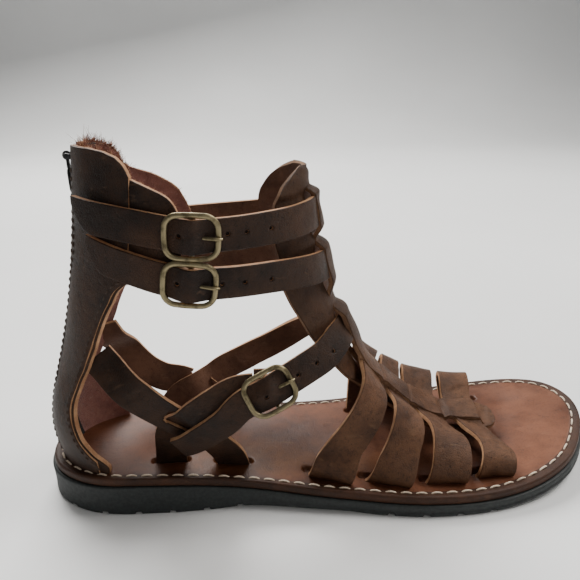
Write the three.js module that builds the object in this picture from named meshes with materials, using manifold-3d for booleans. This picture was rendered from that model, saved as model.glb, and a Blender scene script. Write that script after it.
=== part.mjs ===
// Gladiator sandal, right foot: rubber outsole, leather footbed, zipped heel counter,
// crossed side straps, four toe straps and an instep strap woven through a long tongue,
// two ankle straps, three centre-bar buckles. Millimetres, +X toe, +Y inner side, +Z up.
import * as THREE from 'three';
import { mergeVertices } from 'three/addons/utils/BufferGeometryUtils.js';
import Module from 'manifold-3d';

const wasm = await Module();
wasm.setup();

// Driving dimensions
const soleLength = 284;
const ballWidth = 100;
const shaftHeight = 168;
const heelThickness = 15.5;
const foreThickness = 6;
const toeSpring = 9;
const archLift = 1.5;
const footbedThickness = 4;
const footbedInset = 1.5;
const slotInset = 15.5;
const toeSlotInset = 19;
const clearance = 0.3;
const strapLeather = 2.4;
const counterLeather = 2.6;
const frameGap = 0.4;
const instepStrapWidth = 14;
const sideStrapWidth = 15;
const weaveBand = 7;
const grooveWidth = 3;
const grooveDepth = 1.6;
const groovePitch = 16;
const zipGap = 7;
const tapeWidth = 17;
const tapeThickness = 1.2;
const teethWidth = 5;
const teethHeight = 1;
const frameLength = 24;
const frameBar = 2.2;
const frameDepth = 2;
const centreBarRadius = 1.1;
const tabLeather = 1.7;
const prongWidth = 1.8;
const pullLength = 15;
const pullWidth = 5;
const pullThickness = 1.3;
const bailRadius = 0.8;

const halfLength = soleLength / 2;
const halfBall = ballWidth / 2;

// Outline of the sole; turn is the share of a half turn from heel to toe,
// lateral and medial are shares of half the ball width
const outlineRows = [
  { turn: 0.0, lateral: 0.02, medial: 0.02 },
  { turn: 0.1, lateral: -0.35, medial: 0.38 },
  { turn: 0.2, lateral: -0.6, medial: 0.63 },
  { turn: 0.3, lateral: -0.665, medial: 0.69 },
  { turn: 0.4, lateral: -0.68, medial: 0.7 },
  { turn: 0.5, lateral: -0.84, medial: 0.78 },
  { turn: 0.6, lateral: -0.984, medial: 0.91 },
  { turn: 0.7, lateral: -0.935, medial: 0.99 },
  { turn: 0.8, lateral: -0.67, medial: 0.93 },
  { turn: 0.9, lateral: -0.19, medial: 0.7 },
  { turn: 1.0, lateral: 0.28, medial: 0.28 },
];

// Thickness of the outsole: share of the way from forefoot to heel thickness, along the length
const wallRows = [
  { along: 0.0, share: 1.0 },
  { along: 0.22, share: 0.97 },
  { along: 0.35, share: 0.52 },
  { along: 0.5, share: 0.15 },
  { along: 0.66, share: 0.0 },
  { along: 1.0, share: -0.04 },
];

// Vertical sections of the last; along is a share of the length from the middle,
// sides are shares of half the ball width, heights of the shaft height above the floor
const lastRows = [
  { along: -0.4, shoulder: -0.5, shoulderUp: 0.4, ridgeUp: 0.75, hump: 0.54, humpUp: 0.4 },
  { along: -0.3, shoulder: -0.5, shoulderUp: 0.38, ridgeUp: 0.75, hump: 0.56, humpUp: 0.38 },
  { along: -0.18, shoulder: -0.52, shoulderUp: 0.36, ridgeUp: 0.7, hump: 0.56, humpUp: 0.37 },
  { along: -0.09, shoulder: -0.53, shoulderUp: 0.35, ridgeUp: 0.62, hump: 0.57, humpUp: 0.37 },
  { along: 0.0, shoulder: -0.5, shoulderUp: 0.31, ridgeUp: 0.5, hump: 0.56, humpUp: 0.35 },
  { along: 0.035, shoulder: -0.48, shoulderUp: 0.29, ridgeUp: 0.4, hump: 0.54, humpUp: 0.33 },
  { along: 0.07, shoulder: -0.46, shoulderUp: 0.26, ridgeUp: 0.295, hump: 0.54, humpUp: 0.295 },
  { along: 0.14, shoulder: -0.47, shoulderUp: 0.18, ridgeUp: 0.18, hump: 0.54, humpUp: 0.232 },
  { along: 0.21, shoulder: -0.53, shoulderUp: 0.13, ridgeUp: 0.122, hump: 0.56, humpUp: 0.185 },
  { along: 0.32, shoulder: -0.62, shoulderUp: 0.095, ridgeUp: 0.1, hump: 0.56, humpUp: 0.155 },
];
const ridgeSide = 0.06;

// Level sections of the shaft and heel; up is a share of the shaft height,
// rear, middle and front are shares of the length, half a share of half the ball width
const shaftRows = [
  { up: 0.08, rear: -0.459, middle: -0.33, front: 0.0, half: 0.5 },
  { up: 0.2, rear: -0.472, middle: -0.32, front: 0.0, half: 0.56 },
  { up: 0.3, rear: -0.465, middle: -0.303, front: 0.0, half: 0.57 },
  { up: 0.45, rear: -0.437, middle: -0.266, front: 0.01, half: 0.57 },
  { up: 0.6, rear: -0.412, middle: -0.23, front: -0.016, half: 0.57 },
  { up: 0.8, rear: -0.388, middle: -0.212, front: -0.04, half: 0.56 },
  { up: 1.0, rear: -0.372, middle: -0.2, front: -0.055, half: 0.52 },
];

// Front edges of the counter halves; up is a share of the shaft height,
// outer and inner side are shares of the length
const counterRows = [
  { up: 0.08, outer: -0.39, inner: -0.39 },
  { up: 0.14, outer: -0.378, inner: -0.378 },
  { up: 0.18, outer: -0.4, inner: -0.4 },
  { up: 0.23, outer: -0.418, inner: -0.418 },
  { up: 0.31, outer: -0.423, inner: -0.423 },
  { up: 0.39, outer: -0.403, inner: -0.403 },
  { up: 0.46, outer: -0.383, inner: -0.383 },
  { up: 0.54, outer: -0.362, inner: -0.362 },
  { up: 0.62, outer: -0.338, inner: -0.335 },
  { up: 0.68, outer: -0.31, inner: -0.3 },
  { up: 0.72, outer: -0.24, inner: -0.235 },
  { up: 0.84, outer: -0.228, inner: -0.245 },
  { up: 0.89, outer: -0.24, inner: -0.28 },
  { up: 0.92, outer: -0.272, inner: -0.318 },
  { up: 0.945, outer: -0.303, inner: -0.332 },
  { up: 0.97, outer: -0.314, inner: -0.342 },
  { up: 0.99, outer: -0.326, inner: -0.35 },
  { up: 1.0, outer: -0.345, inner: -0.358 },
];

// Ankle straps: turn in degrees from the front, outer side positive; up is a share
// of the shaft height; lift is the gap left under the strap in millimetres past one layer
const ankleStraps = {
  upper: [
    { turn: -118, up: 0.745, lift: 0 },
    { turn: -60, up: 0.766, lift: 0 },
    { turn: -20, up: 0.807, lift: 0 },
    { turn: 0, up: 0.812, lift: 0 },
    { turn: 50, up: 0.808, lift: 0 },
    { turn: 90, up: 0.806, lift: 0 },
    { turn: 120, up: 0.83, lift: 0.4 },
    { turn: 150, up: 0.85, lift: 3.5 },
  ],
  lower: [
    { turn: -118, up: 0.632, lift: 0 },
    { turn: -60, up: 0.634, lift: 0 },
    { turn: -20, up: 0.659, lift: 0 },
    { turn: 0, up: 0.66, lift: 0 },
    { turn: 50, up: 0.682, lift: 0 },
    { turn: 90, up: 0.69, lift: 0 },
    { turn: 120, up: 0.73, lift: 0.4 },
    { turn: 142, up: 0.76, lift: 1.2 },
  ],
};
const buckleTurn = 90;

// Ankle strap width: what the two frames leave between them where the buckles sit
const [upperAtBuckle, lowerAtBuckle] = ['upper', 'lower']
  .map((name) => shaftHeight * readTable(ankleStraps[name], 'turn', 'up', buckleTurn));
const frameWidth = upperAtBuckle - lowerAtBuckle - frameGap;
const ankleStrapWidth = frameWidth - 4 * clearance - 2 * frameBar;

// Toe straps: rear and front edge along the length for places round the last
const toeStraps = [
  [
    { round: 0.0, rear: -0.06, front: -0.004 },
    { round: 0.14, rear: -0.028, front: 0.042 },
    { round: 0.27, rear: 0.028, front: 0.077 },
    { round: 0.38, rear: 0.044, front: 0.077 },
    { round: 0.5, rear: 0.042, front: 0.074 },
    { round: 0.62, rear: 0.048, front: 0.086 },
    { round: 0.73, rear: 0.06, front: 0.105 },
    { round: 1.0, rear: 0.05, front: 0.11 },
  ],
  [
    { round: 0.0, rear: 0.03, front: 0.102 },
    { round: 0.14, rear: 0.073, front: 0.13 },
    { round: 0.27, rear: 0.093, front: 0.147 },
    { round: 0.38, rear: 0.097, front: 0.14 },
    { round: 0.5, rear: 0.09, front: 0.128 },
    { round: 0.62, rear: 0.098, front: 0.133 },
    { round: 0.73, rear: 0.112, front: 0.146 },
    { round: 1.0, rear: 0.117, front: 0.174 },
  ],
  [
    { round: 0.0, rear: 0.138, front: 0.204 },
    { round: 0.14, rear: 0.158, front: 0.217 },
    { round: 0.27, rear: 0.165, front: 0.227 },
    { round: 0.38, rear: 0.158, front: 0.218 },
    { round: 0.5, rear: 0.143, front: 0.198 },
    { round: 0.62, rear: 0.143, front: 0.206 },
    { round: 0.73, rear: 0.154, front: 0.217 },
    { round: 1.0, rear: 0.184, front: 0.244 },
  ],
  [
    { round: 0.0, rear: 0.228, front: 0.29 },
    { round: 0.14, rear: 0.243, front: 0.296 },
    { round: 0.27, rear: 0.252, front: 0.306 },
    { round: 0.38, rear: 0.243, front: 0.298 },
    { round: 0.5, rear: 0.222, front: 0.277 },
    { round: 0.62, rear: 0.226, front: 0.286 },
    { round: 0.73, rear: 0.233, front: 0.293 },
    { round: 1.0, rear: 0.258, front: 0.322 },
  ],
];

// Straps that cross the sides: place round the last, place along the length,
// layer is how many leathers lie under the strap
const sideStraps = {
  strapLateral: [
    { round: 0.33, along: -0.4, layer: -1.1 },
    { round: 0.306, along: -0.376, layer: -1.0 },
    { round: 0.279, along: -0.347, layer: 0.0 },
    { round: 0.25, along: -0.312, layer: 0.35 },
    { round: 0.216, along: -0.276, layer: 0.3 },
    { round: 0.182, along: -0.241, layer: 0.3 },
    { round: 0.133, along: -0.204, layer: 0.3 },
    { round: 0.074, along: -0.18, layer: 0.3 },
    { round: 0.0, along: -0.176, layer: 0.3 },
  ],
  strapMedial: [
    { round: 0.69, along: -0.4, layer: -1.1 },
    { round: 0.73, along: -0.385, layer: -1.0 },
    { round: 0.775, along: -0.366, layer: 0.0 },
    { round: 0.812, along: -0.34, layer: 0.35 },
    { round: 0.835, along: -0.308, layer: 0.3 },
    { round: 0.845, along: -0.272, layer: 0.3 },
    { round: 0.868, along: -0.235, layer: 0.3 },
    { round: 0.92, along: -0.2, layer: 0.3 },
    { round: 1.0, along: -0.184, layer: 0.3 },
  ],
  buckleStrap: [
    { round: 0.0, along: -0.284, layer: -0.8 },
    { round: 0.054, along: -0.283, layer: -0.8 },
    { round: 0.145, along: -0.276, layer: -0.8 },
    { round: 0.183, along: -0.259, layer: -0.5 },
    { round: 0.211, along: -0.242, layer: 1.2 },
    { round: 0.232, along: -0.225, layer: 1.4 },
    { round: 0.255, along: -0.197, layer: 1.3 },
    { round: 0.274, along: -0.163, layer: 1.0 },
    { round: 0.279, along: -0.114, layer: 1.0 },
  ],
  instepStrap: [
    { round: 1.0, along: -0.3, layer: -0.8 },
    { round: 0.93, along: -0.298, layer: -0.8 },
    { round: 0.885, along: -0.278, layer: -0.8 },
    { round: 0.858, along: -0.244, layer: -0.5 },
    { round: 0.838, along: -0.216, layer: 1.2 },
    { round: 0.815, along: -0.188, layer: 1.4 },
    { round: 0.79, along: -0.14, layer: 1.2 },
    { round: 0.765, along: -0.09, layer: 1.1 },
    { round: 0.726, along: -0.043, layer: 1.05 },
    { round: 0.656, along: 0.01, layer: 1.05 },
    { round: 0.58, along: 0.02, layer: 1.05 },
    { round: 0.5, along: 0.016, layer: 1.05 },
    { round: 0.42, along: 0.004, layer: 1.1 },
    { round: 0.36, along: -0.022, layer: 1.6 },
    { round: 0.32, along: -0.06, layer: 2.08 },
    { round: 0.279, along: -0.112, layer: 2.08 },
    { round: 0.255, along: -0.154, layer: 2.15 },
    { round: 0.224, along: -0.183, layer: 2.4 },
    { round: 0.19, along: -0.216, layer: 2.4 },
    { round: 0.159, along: -0.244, layer: 2.35 },
    { round: 0.145, along: -0.262, layer: 2.3 },
  ],
};

// Tongue along the ridge from toe to top: drop is how far its margins fall behind
// its middle, lean how much its inner side rises, both as shares of its half width
const tongueRows = [
  { along: 0.318, up: 0.097, half: 0.05, drop: 0.0, lean: 0.15 },
  { along: 0.311, up: 0.098, half: 0.13, drop: 0.0, lean: 0.15 },
  { along: 0.297, up: 0.1, half: 0.18, drop: 0.0, lean: 0.16 },
  { along: 0.268, up: 0.104, half: 0.2, drop: 0.0, lean: 0.17 },
  { along: 0.225, up: 0.114, half: 0.21, drop: 0.0, lean: 0.17 },
  { along: 0.18, up: 0.138, half: 0.21, drop: 0.0, lean: 0.17 },
  { along: 0.132, up: 0.192, half: 0.22, drop: 0.03, lean: 0.16 },
  { along: 0.076, up: 0.284, half: 0.25, drop: 0.2, lean: 0.1 },
  { along: 0.046, up: 0.355, half: 0.29, drop: 0.5, lean: 0.04 },
  { along: 0.022, up: 0.45, half: 0.33, drop: 0.75, lean: 0.0 },
  { along: 0.001, up: 0.545, half: 0.38, drop: 0.85, lean: 0.0 },
  { along: -0.019, up: 0.655, half: 0.42, drop: 0.9, lean: 0.0 },
  { along: -0.031, up: 0.735, half: 0.42, drop: 0.9, lean: -0.05 },
  { along: -0.039, up: 0.81, half: 0.42, drop: 0.9, lean: -0.1 },
  { along: -0.043, up: 0.87, half: 0.37, drop: 0.85, lean: -0.1 },
  { along: -0.045, up: 0.91, half: 0.27, drop: 0.7, lean: -0.1 },
  { along: -0.046, up: 0.93, half: 0.12, drop: 0.5, lean: -0.1 },
];

// Cubic through the rows of a table, flat past its ends
function readTable(rows, key, column, at) {
  const last = rows.length - 1;
  if (at <= rows[0][key]) return rows[0][column];
  if (at >= rows[last][key]) return rows[last][column];
  let i = 0;
  while (rows[i + 1][key] < at) i += 1;
  const slope = (k) => {
    const a = rows[Math.max(k - 1, 0)];
    const b = rows[Math.min(k + 1, last)];
    return (b[column] - a[column]) / (b[key] - a[key]);
  };
  const span = rows[i + 1][key] - rows[i][key];
  const t = (at - rows[i][key]) / span;
  const h = t * t * (3 - 2 * t);
  const rise = span * (slope(i) * t * (1 - t) * (1 - t) - slope(i + 1) * t * t * (1 - t));
  return rows[i][column] * (1 - h) + rows[i + 1][column] * h + rise;
}

function stepped(rows) {
  return rows.map((row, step) => ({ ...row, step }));
}

function smooth(from, to, at) {
  const t = THREE.MathUtils.clamp((at - from) / (to - from), 0, 1);
  return t * t * (3 - 2 * t);
}

// Sole: length from half turn, sides of the outline, height of the underside and upper face
function alongOfTurn(turn) {
  return -halfLength * Math.cos(Math.PI * turn);
}

function outlineSide(turn, side) {
  return halfBall * readTable(outlineRows, 'turn', side, turn);
}

function outlineAt(x, side) {
  const turn = Math.acos(THREE.MathUtils.clamp(-x / halfLength, -1, 1)) / Math.PI;
  return outlineSide(turn, side);
}

function archAt(share) {
  return archLift * smooth(0.27, 0.36, share) * (1 - smooth(0.48, 0.58, share));
}

function undersideAt(x) {
  const share = x / soleLength + 0.5;
  return toeSpring * Math.pow(Math.max(share - 0.72, 0) / 0.28, 1.8) + archAt(share);
}

function soleTopAt(x) {
  const share = x / soleLength + 0.5;
  const wall = foreThickness + (heelThickness - foreThickness) * readTable(wallRows, 'along', 'share', share);
  return undersideAt(x) - archAt(share) + wall;
}

function footbedTopAt(x) {
  return soleTopAt(x) + clearance + footbedThickness;
}

// Closed solid from points and triangles: equal points are welded, faces turned outward
function solidFrom(points, triangles) {
  const index = new Map();
  const vertices = [];
  const weld = points.map((p) => {
    const key = p.map((c) => Math.round(c * 2000)).join();
    if (!index.has(key)) {
      index.set(key, vertices.length / 3);
      vertices.push(...p);
    }
    return index.get(key);
  });
  const faces = [];
  let volume = 0;
  for (const [a, b, c] of triangles) {
    const [i, j, k] = [weld[a], weld[b], weld[c]];
    if (i === j || j === k || k === i) continue;
    faces.push([i, j, k]);
    const [p, q, r] = [points[a], points[b], points[c]];
    volume += p[0] * (q[1] * r[2] - q[2] * r[1]) + p[1] * (q[2] * r[0] - q[0] * r[2])
      + p[2] * (q[0] * r[1] - q[1] * r[0]);
  }
  const turned = volume < 0 ? faces.map(([i, j, k]) => [i, k, j]) : faces;
  return new wasm.Manifold(new wasm.Mesh({
    numProp: 3,
    vertProperties: new Float32Array(vertices),
    triVerts: new Uint32Array(turned.flat()),
  }));
}

function solidOf(source, matrix) {
  const geometry = source.clone();
  geometry.deleteAttribute('normal');
  geometry.deleteAttribute('uv');
  if (matrix) geometry.applyMatrix4(matrix);
  const merged = mergeVertices(geometry, 1e-4);
  const place = merged.attributes.position;
  const points = [];
  for (let i = 0; i < place.count; i += 1) points.push([place.getX(i), place.getY(i), place.getZ(i)]);
  const triangles = [];
  for (let i = 0; i < merged.index.count; i += 3) {
    triangles.push([merged.index.getX(i), merged.index.getX(i + 1), merged.index.getX(i + 2)]);
  }
  return solidFrom(points, triangles);
}

function joined(solids) {
  return solids.reduce((sum, next) => sum.add(next));
}

function without(solid, cuts) {
  return cuts.reduce((rest, cut) => rest.subtract(cut), solid);
}

function box(width, depth, height, matrix) {
  return solidOf(new THREE.BoxGeometry(width, depth, height), matrix);
}

// Slab of the sole: stations from heel to toe, sides drawn in by the inset
function soleSlab(inset, bottomAt, topAt, stations) {
  const points = [];
  const triangles = [];
  for (let i = 0; i <= stations; i += 1) {
    const turn = i / stations;
    const x = alongOfTurn(turn) * (1 - inset / halfLength);
    const lateral = outlineSide(turn, 'lateral');
    const medial = outlineSide(turn, 'medial');
    const middle = (lateral + medial) / 2;
    const half = (medial - lateral) / 2 * (1 - inset / halfBall);
    points.push([x, middle - half, bottomAt(x)], [x, middle + half, bottomAt(x)]);
    points.push([x, middle + half, topAt(x)], [x, middle - half, topAt(x)]);
    if (i === stations) break;
    for (let k = 0; k < 4; k += 1) {
      const a = 4 * i + k;
      const b = 4 * i + (k + 1) % 4;
      triangles.push([a, b, b + 4], [a, b + 4, a + 4]);
    }
  }
  return solidFrom(points, triangles);
}

// Point of the last: section at x, round from outer slot over the ridge to inner slot
function lastPoint(x, round) {
  const share = x / soleLength;
  const at = (column) => readTable(lastRows, 'along', column, share);
  const inset = slotInset + (toeSlotInset - slotInset) * smooth(0.1, 0.27, share);
  const outer = outlineAt(x, 'lateral') + inset;
  const inner = outlineAt(x, 'medial') - inset;
  const base = soleTopAt(x) - footbedThickness;
  const top = footbedTopAt(x) + strapLeather;
  const section = [
    { round: 0, y: outer, z: base },
    { round: 0.07, y: outer, z: top },
    { round: 0.27, y: halfBall * at('shoulder'), z: shaftHeight * at('shoulderUp') },
    { round: 0.5, y: halfBall * ridgeSide, z: shaftHeight * at('ridgeUp') },
    { round: 0.73, y: halfBall * at('hump'), z: shaftHeight * at('humpUp') },
    { round: 0.93, y: inner, z: top },
    { round: 1, y: inner, z: base },
  ];
  const y = readTable(section, 'round', 'y', round);
  return new THREE.Vector3(x, y, readTable(section, 'round', 'z', round));
}

function lastNormal(x, round) {
  const step = 0.01;
  const a = lastPoint(x, Math.min(round + step, 1)).sub(lastPoint(x, Math.max(round - step, 0)));
  const b = lastPoint(x + 1, round).sub(lastPoint(x - 1, round));
  return b.cross(a).normalize();
}

// Point of the shaft: turn in degrees from the front, outer side positive
function shaftPoint(turn, z) {
  const at = (column) => readTable(shaftRows, 'up', column, z / shaftHeight);
  const angle = THREE.MathUtils.degToRad(turn);
  const middle = soleLength * at('middle');
  const depth = Math.abs(turn) > 90 ? middle - soleLength * at('rear') : soleLength * at('front') - middle;
  return new THREE.Vector3(
    middle + depth * Math.cos(angle),
    -halfBall * at('half') * Math.sin(angle),
    z,
  );
}

// Leather between two offsets of a grid of points, out of the foot
function plate(grid, low, high) {
  const rows = grid.length;
  const columns = grid[0].length;
  const normals = [];
  let facing = 0;
  for (let i = 0; i < rows; i += 1) {
    for (let j = 0; j < columns; j += 1) {
      const a = grid[Math.min(i + 1, rows - 1)][j].clone().sub(grid[Math.max(i - 1, 0)][j]);
      const b = grid[i][Math.min(j + 1, columns - 1)].clone().sub(grid[i][Math.max(j - 1, 0)]);
      const normal = a.cross(b).normalize();
      const p = grid[i][j];
      const core = p.z > 0.56 * shaftHeight
        ? new THREE.Vector3(-0.21 * soleLength, 0, p.z)
        : new THREE.Vector3(p.x, 0, 0);
      facing += normal.dot(p.clone().sub(core));
      normals.push(normal);
    }
  }
  const sign = Math.sign(facing);
  const offset = (value, i, j) => (typeof value === 'function' ? value(i, j) : value);
  const points = [];
  for (const value of [low, high]) {
    for (let i = 0; i < rows; i += 1) {
      for (let j = 0; j < columns; j += 1) {
        const normal = normals[i * columns + j].clone().multiplyScalar(sign * offset(value, i, j));
        points.push(grid[i][j].clone().add(normal).toArray());
      }
    }
  }
  const total = rows * columns;
  const triangles = [];
  const quad = (a, b, c, d) => triangles.push([a, b, c], [a, c, d]);
  for (let i = 0; i < rows - 1; i += 1) {
    for (let j = 0; j < columns - 1; j += 1) {
      const a = i * columns + j;
      quad(a, a + 1, a + columns + 1, a + columns);
      quad(total + a, total + a + columns, total + a + columns + 1, total + a + 1);
    }
    const first = i * columns;
    const last = first + columns - 1;
    quad(first, first + columns, total + first + columns, total + first);
    quad(last, total + last, total + last + columns, last + columns);
  }
  for (let j = 0; j < columns - 1; j += 1) {
    const end = (rows - 1) * columns + j;
    quad(j, total + j, total + j + 1, j + 1);
    quad(end, end + 1, total + end + 1, total + end);
  }
  return solidFrom(points, triangles);
}

function layerLow(layer) {
  return layer * (strapLeather + clearance);
}

// Toe straps follow the last; spare widens them all round for the slots they pass
function toeStrap(rows, spare) {
  const steps = 20;
  const grid = [];
  for (let i = 0; i <= steps; i += 1) {
    const round = i / steps;
    const rear = soleLength * readTable(rows, 'round', 'rear', round) - spare;
    const front = soleLength * readTable(rows, 'round', 'front', round) + spare;
    grid.push([0, 0.5, 1].map((share) => lastPoint(rear + share * (front - rear), round)));
  }
  const low = layerLow(1);
  return plate(grid, low - spare, low + strapLeather + spare);
}

// Side straps follow their rows over the last, with square edges
function sideStrap(rows, width, spare, steps, barPoint) {
  const table = stepped(rows);
  const last = table.length - 1;
  const place = (at) => {
    const x = soleLength * readTable(table, 'step', 'along', at);
    const round = THREE.MathUtils.clamp(readTable(table, 'step', 'round', at), 0, 1);
    return { x, round, point: lastPoint(x, round) };
  };
  const grid = [];
  const lows = [];
  for (let i = 0; i <= steps; i += 1) {
    const at = last * i / steps;
    const here = place(at);
    const ahead = place(Math.min(at + 0.1, last)).point;
    const along = ahead.sub(place(Math.max(at - 0.1, 0)).point).normalize();
    const level = here.round < 0.07 || here.round > 0.93;
    const across = level ? new THREE.Vector3(1, 0, 0) : along.clone().cross(lastNormal(here.x, here.round));
    across.normalize();
    if (across.x < 0) across.negate();
    const half = width / 2 + spare;
    grid.push([-1, 0, 1].map((side) => here.point.clone().addScaledVector(across, side * half)));
    const rise = barPoint ? overBar(here.point.distanceTo(barPoint)) : 0;
    lows.push(layerLow(readTable(table, 'step', 'layer', at)) + rise);
  }
  return plate(grid, (i) => lows[i] - spare, (i) => lows[i] + strapLeather + spare);
}

// Rise of a strap over the centre bar of its buckle at a distance from the bar
function overBar(away) {
  const rise = eyeCentre + eyeRadius - counterLeather;
  return rise * Math.exp(-((away / (frameLength * 0.22)) ** 2));
}

function ankleStrap(rows, spare) {
  const steps = 36;
  const from = rows[0].turn;
  const to = rows[rows.length - 1].turn;
  const grid = [];
  const lows = [];
  for (let i = 0; i <= steps; i += 1) {
    const share = i / steps;
    const turn = from + (to - from) * share;
    const middle = shaftHeight * readTable(rows, 'turn', 'up', turn);
    const half = ankleStrapWidth / 2 + spare;
    const rounding = ankleStrapWidth * 0.75 * Math.pow(Math.max(share - 0.95, 0) / 0.05, 2);
    const bottom = middle - half + rounding;
    grid.push([bottom, (bottom + middle + half) / 2, middle + half].map((z) => shaftPoint(turn, z)));
    const away = shaftPoint(turn, middle).distanceTo(shaftPoint(buckleTurn, middle));
    lows.push(counterLeather + clearance + readTable(rows, 'turn', 'lift', turn) + overBar(away));
  }
  return plate(grid, (i) => lows[i] - spare, (i) => lows[i] + strapLeather + spare);
}

// Counter halves: from the zip round to the front edge
function counterHalf(side, spare) {
  const levels = 20;
  const columns = 6;
  const grid = [];
  const bottom = soleTopAt(-halfLength) - footbedThickness;
  for (let i = 0; i <= levels; i += 1) {
    const z = bottom + (shaftHeight - bottom) * i / levels;
    const at = (column) => readTable(shaftRows, 'up', column, z / shaftHeight);
    const middle = soleLength * at('middle');
    const edge = soleLength * readTable(counterRows, 'up', side > 0 ? 'outer' : 'inner', z / shaftHeight);
    const cosine = (middle - edge) / (middle - soleLength * at('rear'));
    const front = THREE.MathUtils.radToDeg(Math.acos(THREE.MathUtils.clamp(cosine, -1, 1)));
    const rear = THREE.MathUtils.radToDeg(Math.asin((zipGap / 2 - spare) / (halfBall * at('half'))));
    const reach = front + (spare > 0 ? 1 : 0);
    const row = [];
    for (let j = 0; j <= columns; j += 1) {
      row.push(shaftPoint(side * (180 - rear - (reach - rear) * j / columns), z));
    }
    grid.push(row);
  }
  return plate(grid, -spare, counterLeather + spare);
}

// Zip tape and teeth down the rear line
function rearStrip(width, low, high, bottom, top) {
  const levels = 16;
  const grid = [];
  for (let i = 0; i <= levels; i += 1) {
    const z = bottom + (top - bottom) * i / levels;
    const half = halfBall * readTable(shaftRows, 'up', 'half', z / shaftHeight);
    const reach = THREE.MathUtils.radToDeg(Math.asin(width / 2 / half));
    grid.push([-1, -0.5, 0, 0.5, 1].map((share) => shaftPoint(180 + share * reach, z)));
  }
  return plate(grid, low, high);
}

// Tongue: frame of the ridge line at a step of its rows
const tongueTable = stepped(tongueRows);
const tongueEnd = tongueTable.length - 1;

function tongueAt(step) {
  const at = (column, where) => readTable(tongueTable, 'step', column, where);
  const spot = (where) => new THREE.Vector3(
    soleLength * at('along', where),
    halfBall * ridgeSide,
    shaftHeight * at('up', where),
  );
  const ahead = spot(Math.min(step + 0.05, tongueEnd)).sub(spot(Math.max(step - 0.05, 0))).normalize();
  return {
    point: spot(step),
    normal: new THREE.Vector3(ahead.z, 0, -ahead.x),
    half: halfBall * at('half', step),
    drop: at('drop', step),
    lean: at('lean', step),
  };
}

function tonguePoint(step, across) {
  const here = tongueAt(step);
  const fall = here.drop * across * across / here.half;
  return here.point.clone()
    .add(new THREE.Vector3(0, across, 0))
    .addScaledVector(here.normal, here.lean * across - fall);
}

function stepWhere(column, value) {
  const falls = tongueTable[0][column] > tongueTable[tongueEnd][column];
  let low = 0;
  let high = tongueEnd;
  for (let i = 0; i < 30; i += 1) {
    const middle = (low + high) / 2;
    const below = readTable(tongueTable, 'step', column, middle) < value;
    if (below === falls) high = middle;
    else low = middle;
  }
  return (low + high) / 2;
}

// Stretches of the tongue that pass over a strap
const toeCrossings = toeStraps.map((rows) => [
  stepWhere('along', readTable(rows, 'round', 'front', 0.5) + clearance / soleLength),
  stepWhere('along', readTable(rows, 'round', 'rear', 0.5) - clearance / soleLength),
]);
const instepCrossing = [0.55, -0.55].map((share) => stepWhere(
  'up',
  readTable(lastRows, 'along', 'ridgeUp', 0.022) - share * 1.35 * instepStrapWidth / shaftHeight,
));
const ankleCrossings = ['lower', 'upper'].map((name) => [-0.55, 0.55].map((share) => stepWhere(
  'up',
  readTable(ankleStraps[name], 'turn', 'up', 0) + share * ankleStrapWidth / shaftHeight,
)));
const crossings = [...toeCrossings, instepCrossing, ...ankleCrossings]
  .map(([a, b]) => [Math.min(a, b), Math.max(a, b)])
  .sort((a, b) => a[0] - b[0]);

function weaveLift(step) {
  const ramp = 0.45;
  const raised = crossings.map(([from, to]) => (
    smooth(from - ramp, from, step) * (1 - smooth(to, to + ramp, step))));
  return Math.max(...raised) * (layerLow(2) + clearance);
}

function tongueBand(from, to, start, end, fineness, lowAt, highAt) {
  const count = Math.max(Math.round((end - start) * fineness), 2);
  const grid = [];
  const steps = [];
  for (let i = 0; i <= count; i += 1) {
    const step = start + (end - start) * i / count;
    const half = tongueAt(step).half;
    const left = THREE.MathUtils.clamp(from, -half, half);
    const right = THREE.MathUtils.clamp(to, -half, half);
    grid.push([left, (left + right) / 2, right].map((across) => tonguePoint(step, across)));
    steps.push(step);
  }
  return plate(grid, (i) => lowAt(steps[i]), (i) => highAt(steps[i]));
}

function tongue(cuts) {
  const narrow = 1.02;
  const wide = halfBall;
  const overlap = 0.2;
  const band = tongueBand(-weaveBand, weaveBand, 0, tongueEnd, 2.5, weaveLift, (s) => weaveLift(s) + strapLeather);
  const flat = () => 0;
  const thick = () => strapLeather;
  const outer = tongueBand(-wide, -weaveBand + overlap, narrow, tongueEnd - 0.6, 1.2, flat, thick);
  const inner = tongueBand(weaveBand - overlap, wide, narrow, tongueEnd - 0.6, 1.2, flat, thick);
  const solids = [band, outer, inner];
  for (let k = 0; k + 1 < crossings.length; k += 1) {
    const gap = crossings[k + 1][0] - crossings[k][1];
    const start = crossings[k][1] + gap * 0.12;
    const end = crossings[k + 1][0] - gap * 0.12;
    const high = (s) => weaveLift(s) + strapLeather;
    solids.push(tongueBand(-weaveBand - 1.5, weaveBand + 1.5, start, end, 1.5, flat, high));
  }
  return without(joined(solids), cuts);
}

// Buckles: a frame of a flat ring and a sunk centre bar, in strap axes
const eyeRadius = centreBarRadius + clearance + tabLeather;
const eyeCentre = counterLeather + 0.9;
const ringLow = counterLeather + clearance + strapLeather + clearance;

function frameMatrix(point, along, out) {
  const across = out.clone().cross(along).normalize();
  const square = along.clone().normalize();
  const lift = square.clone().cross(across).normalize();
  return new THREE.Matrix4().makeBasis(square, across, lift).setPosition(point);
}

function roundedOutline(length, width, radius, path) {
  const a = length / 2;
  const b = width / 2;
  path.moveTo(-a + radius, -b);
  path.lineTo(a - radius, -b);
  path.absarc(a - radius, -b + radius, radius, -Math.PI / 2, 0);
  path.lineTo(a, b - radius);
  path.absarc(a - radius, b - radius, radius, 0, Math.PI / 2);
  path.lineTo(-a + radius, b);
  path.absarc(-a + radius, b - radius, radius, Math.PI / 2, Math.PI);
  path.lineTo(-a, -b + radius);
  path.absarc(-a + radius, -b + radius, radius, Math.PI, 1.5 * Math.PI);
  return path;
}

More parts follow.
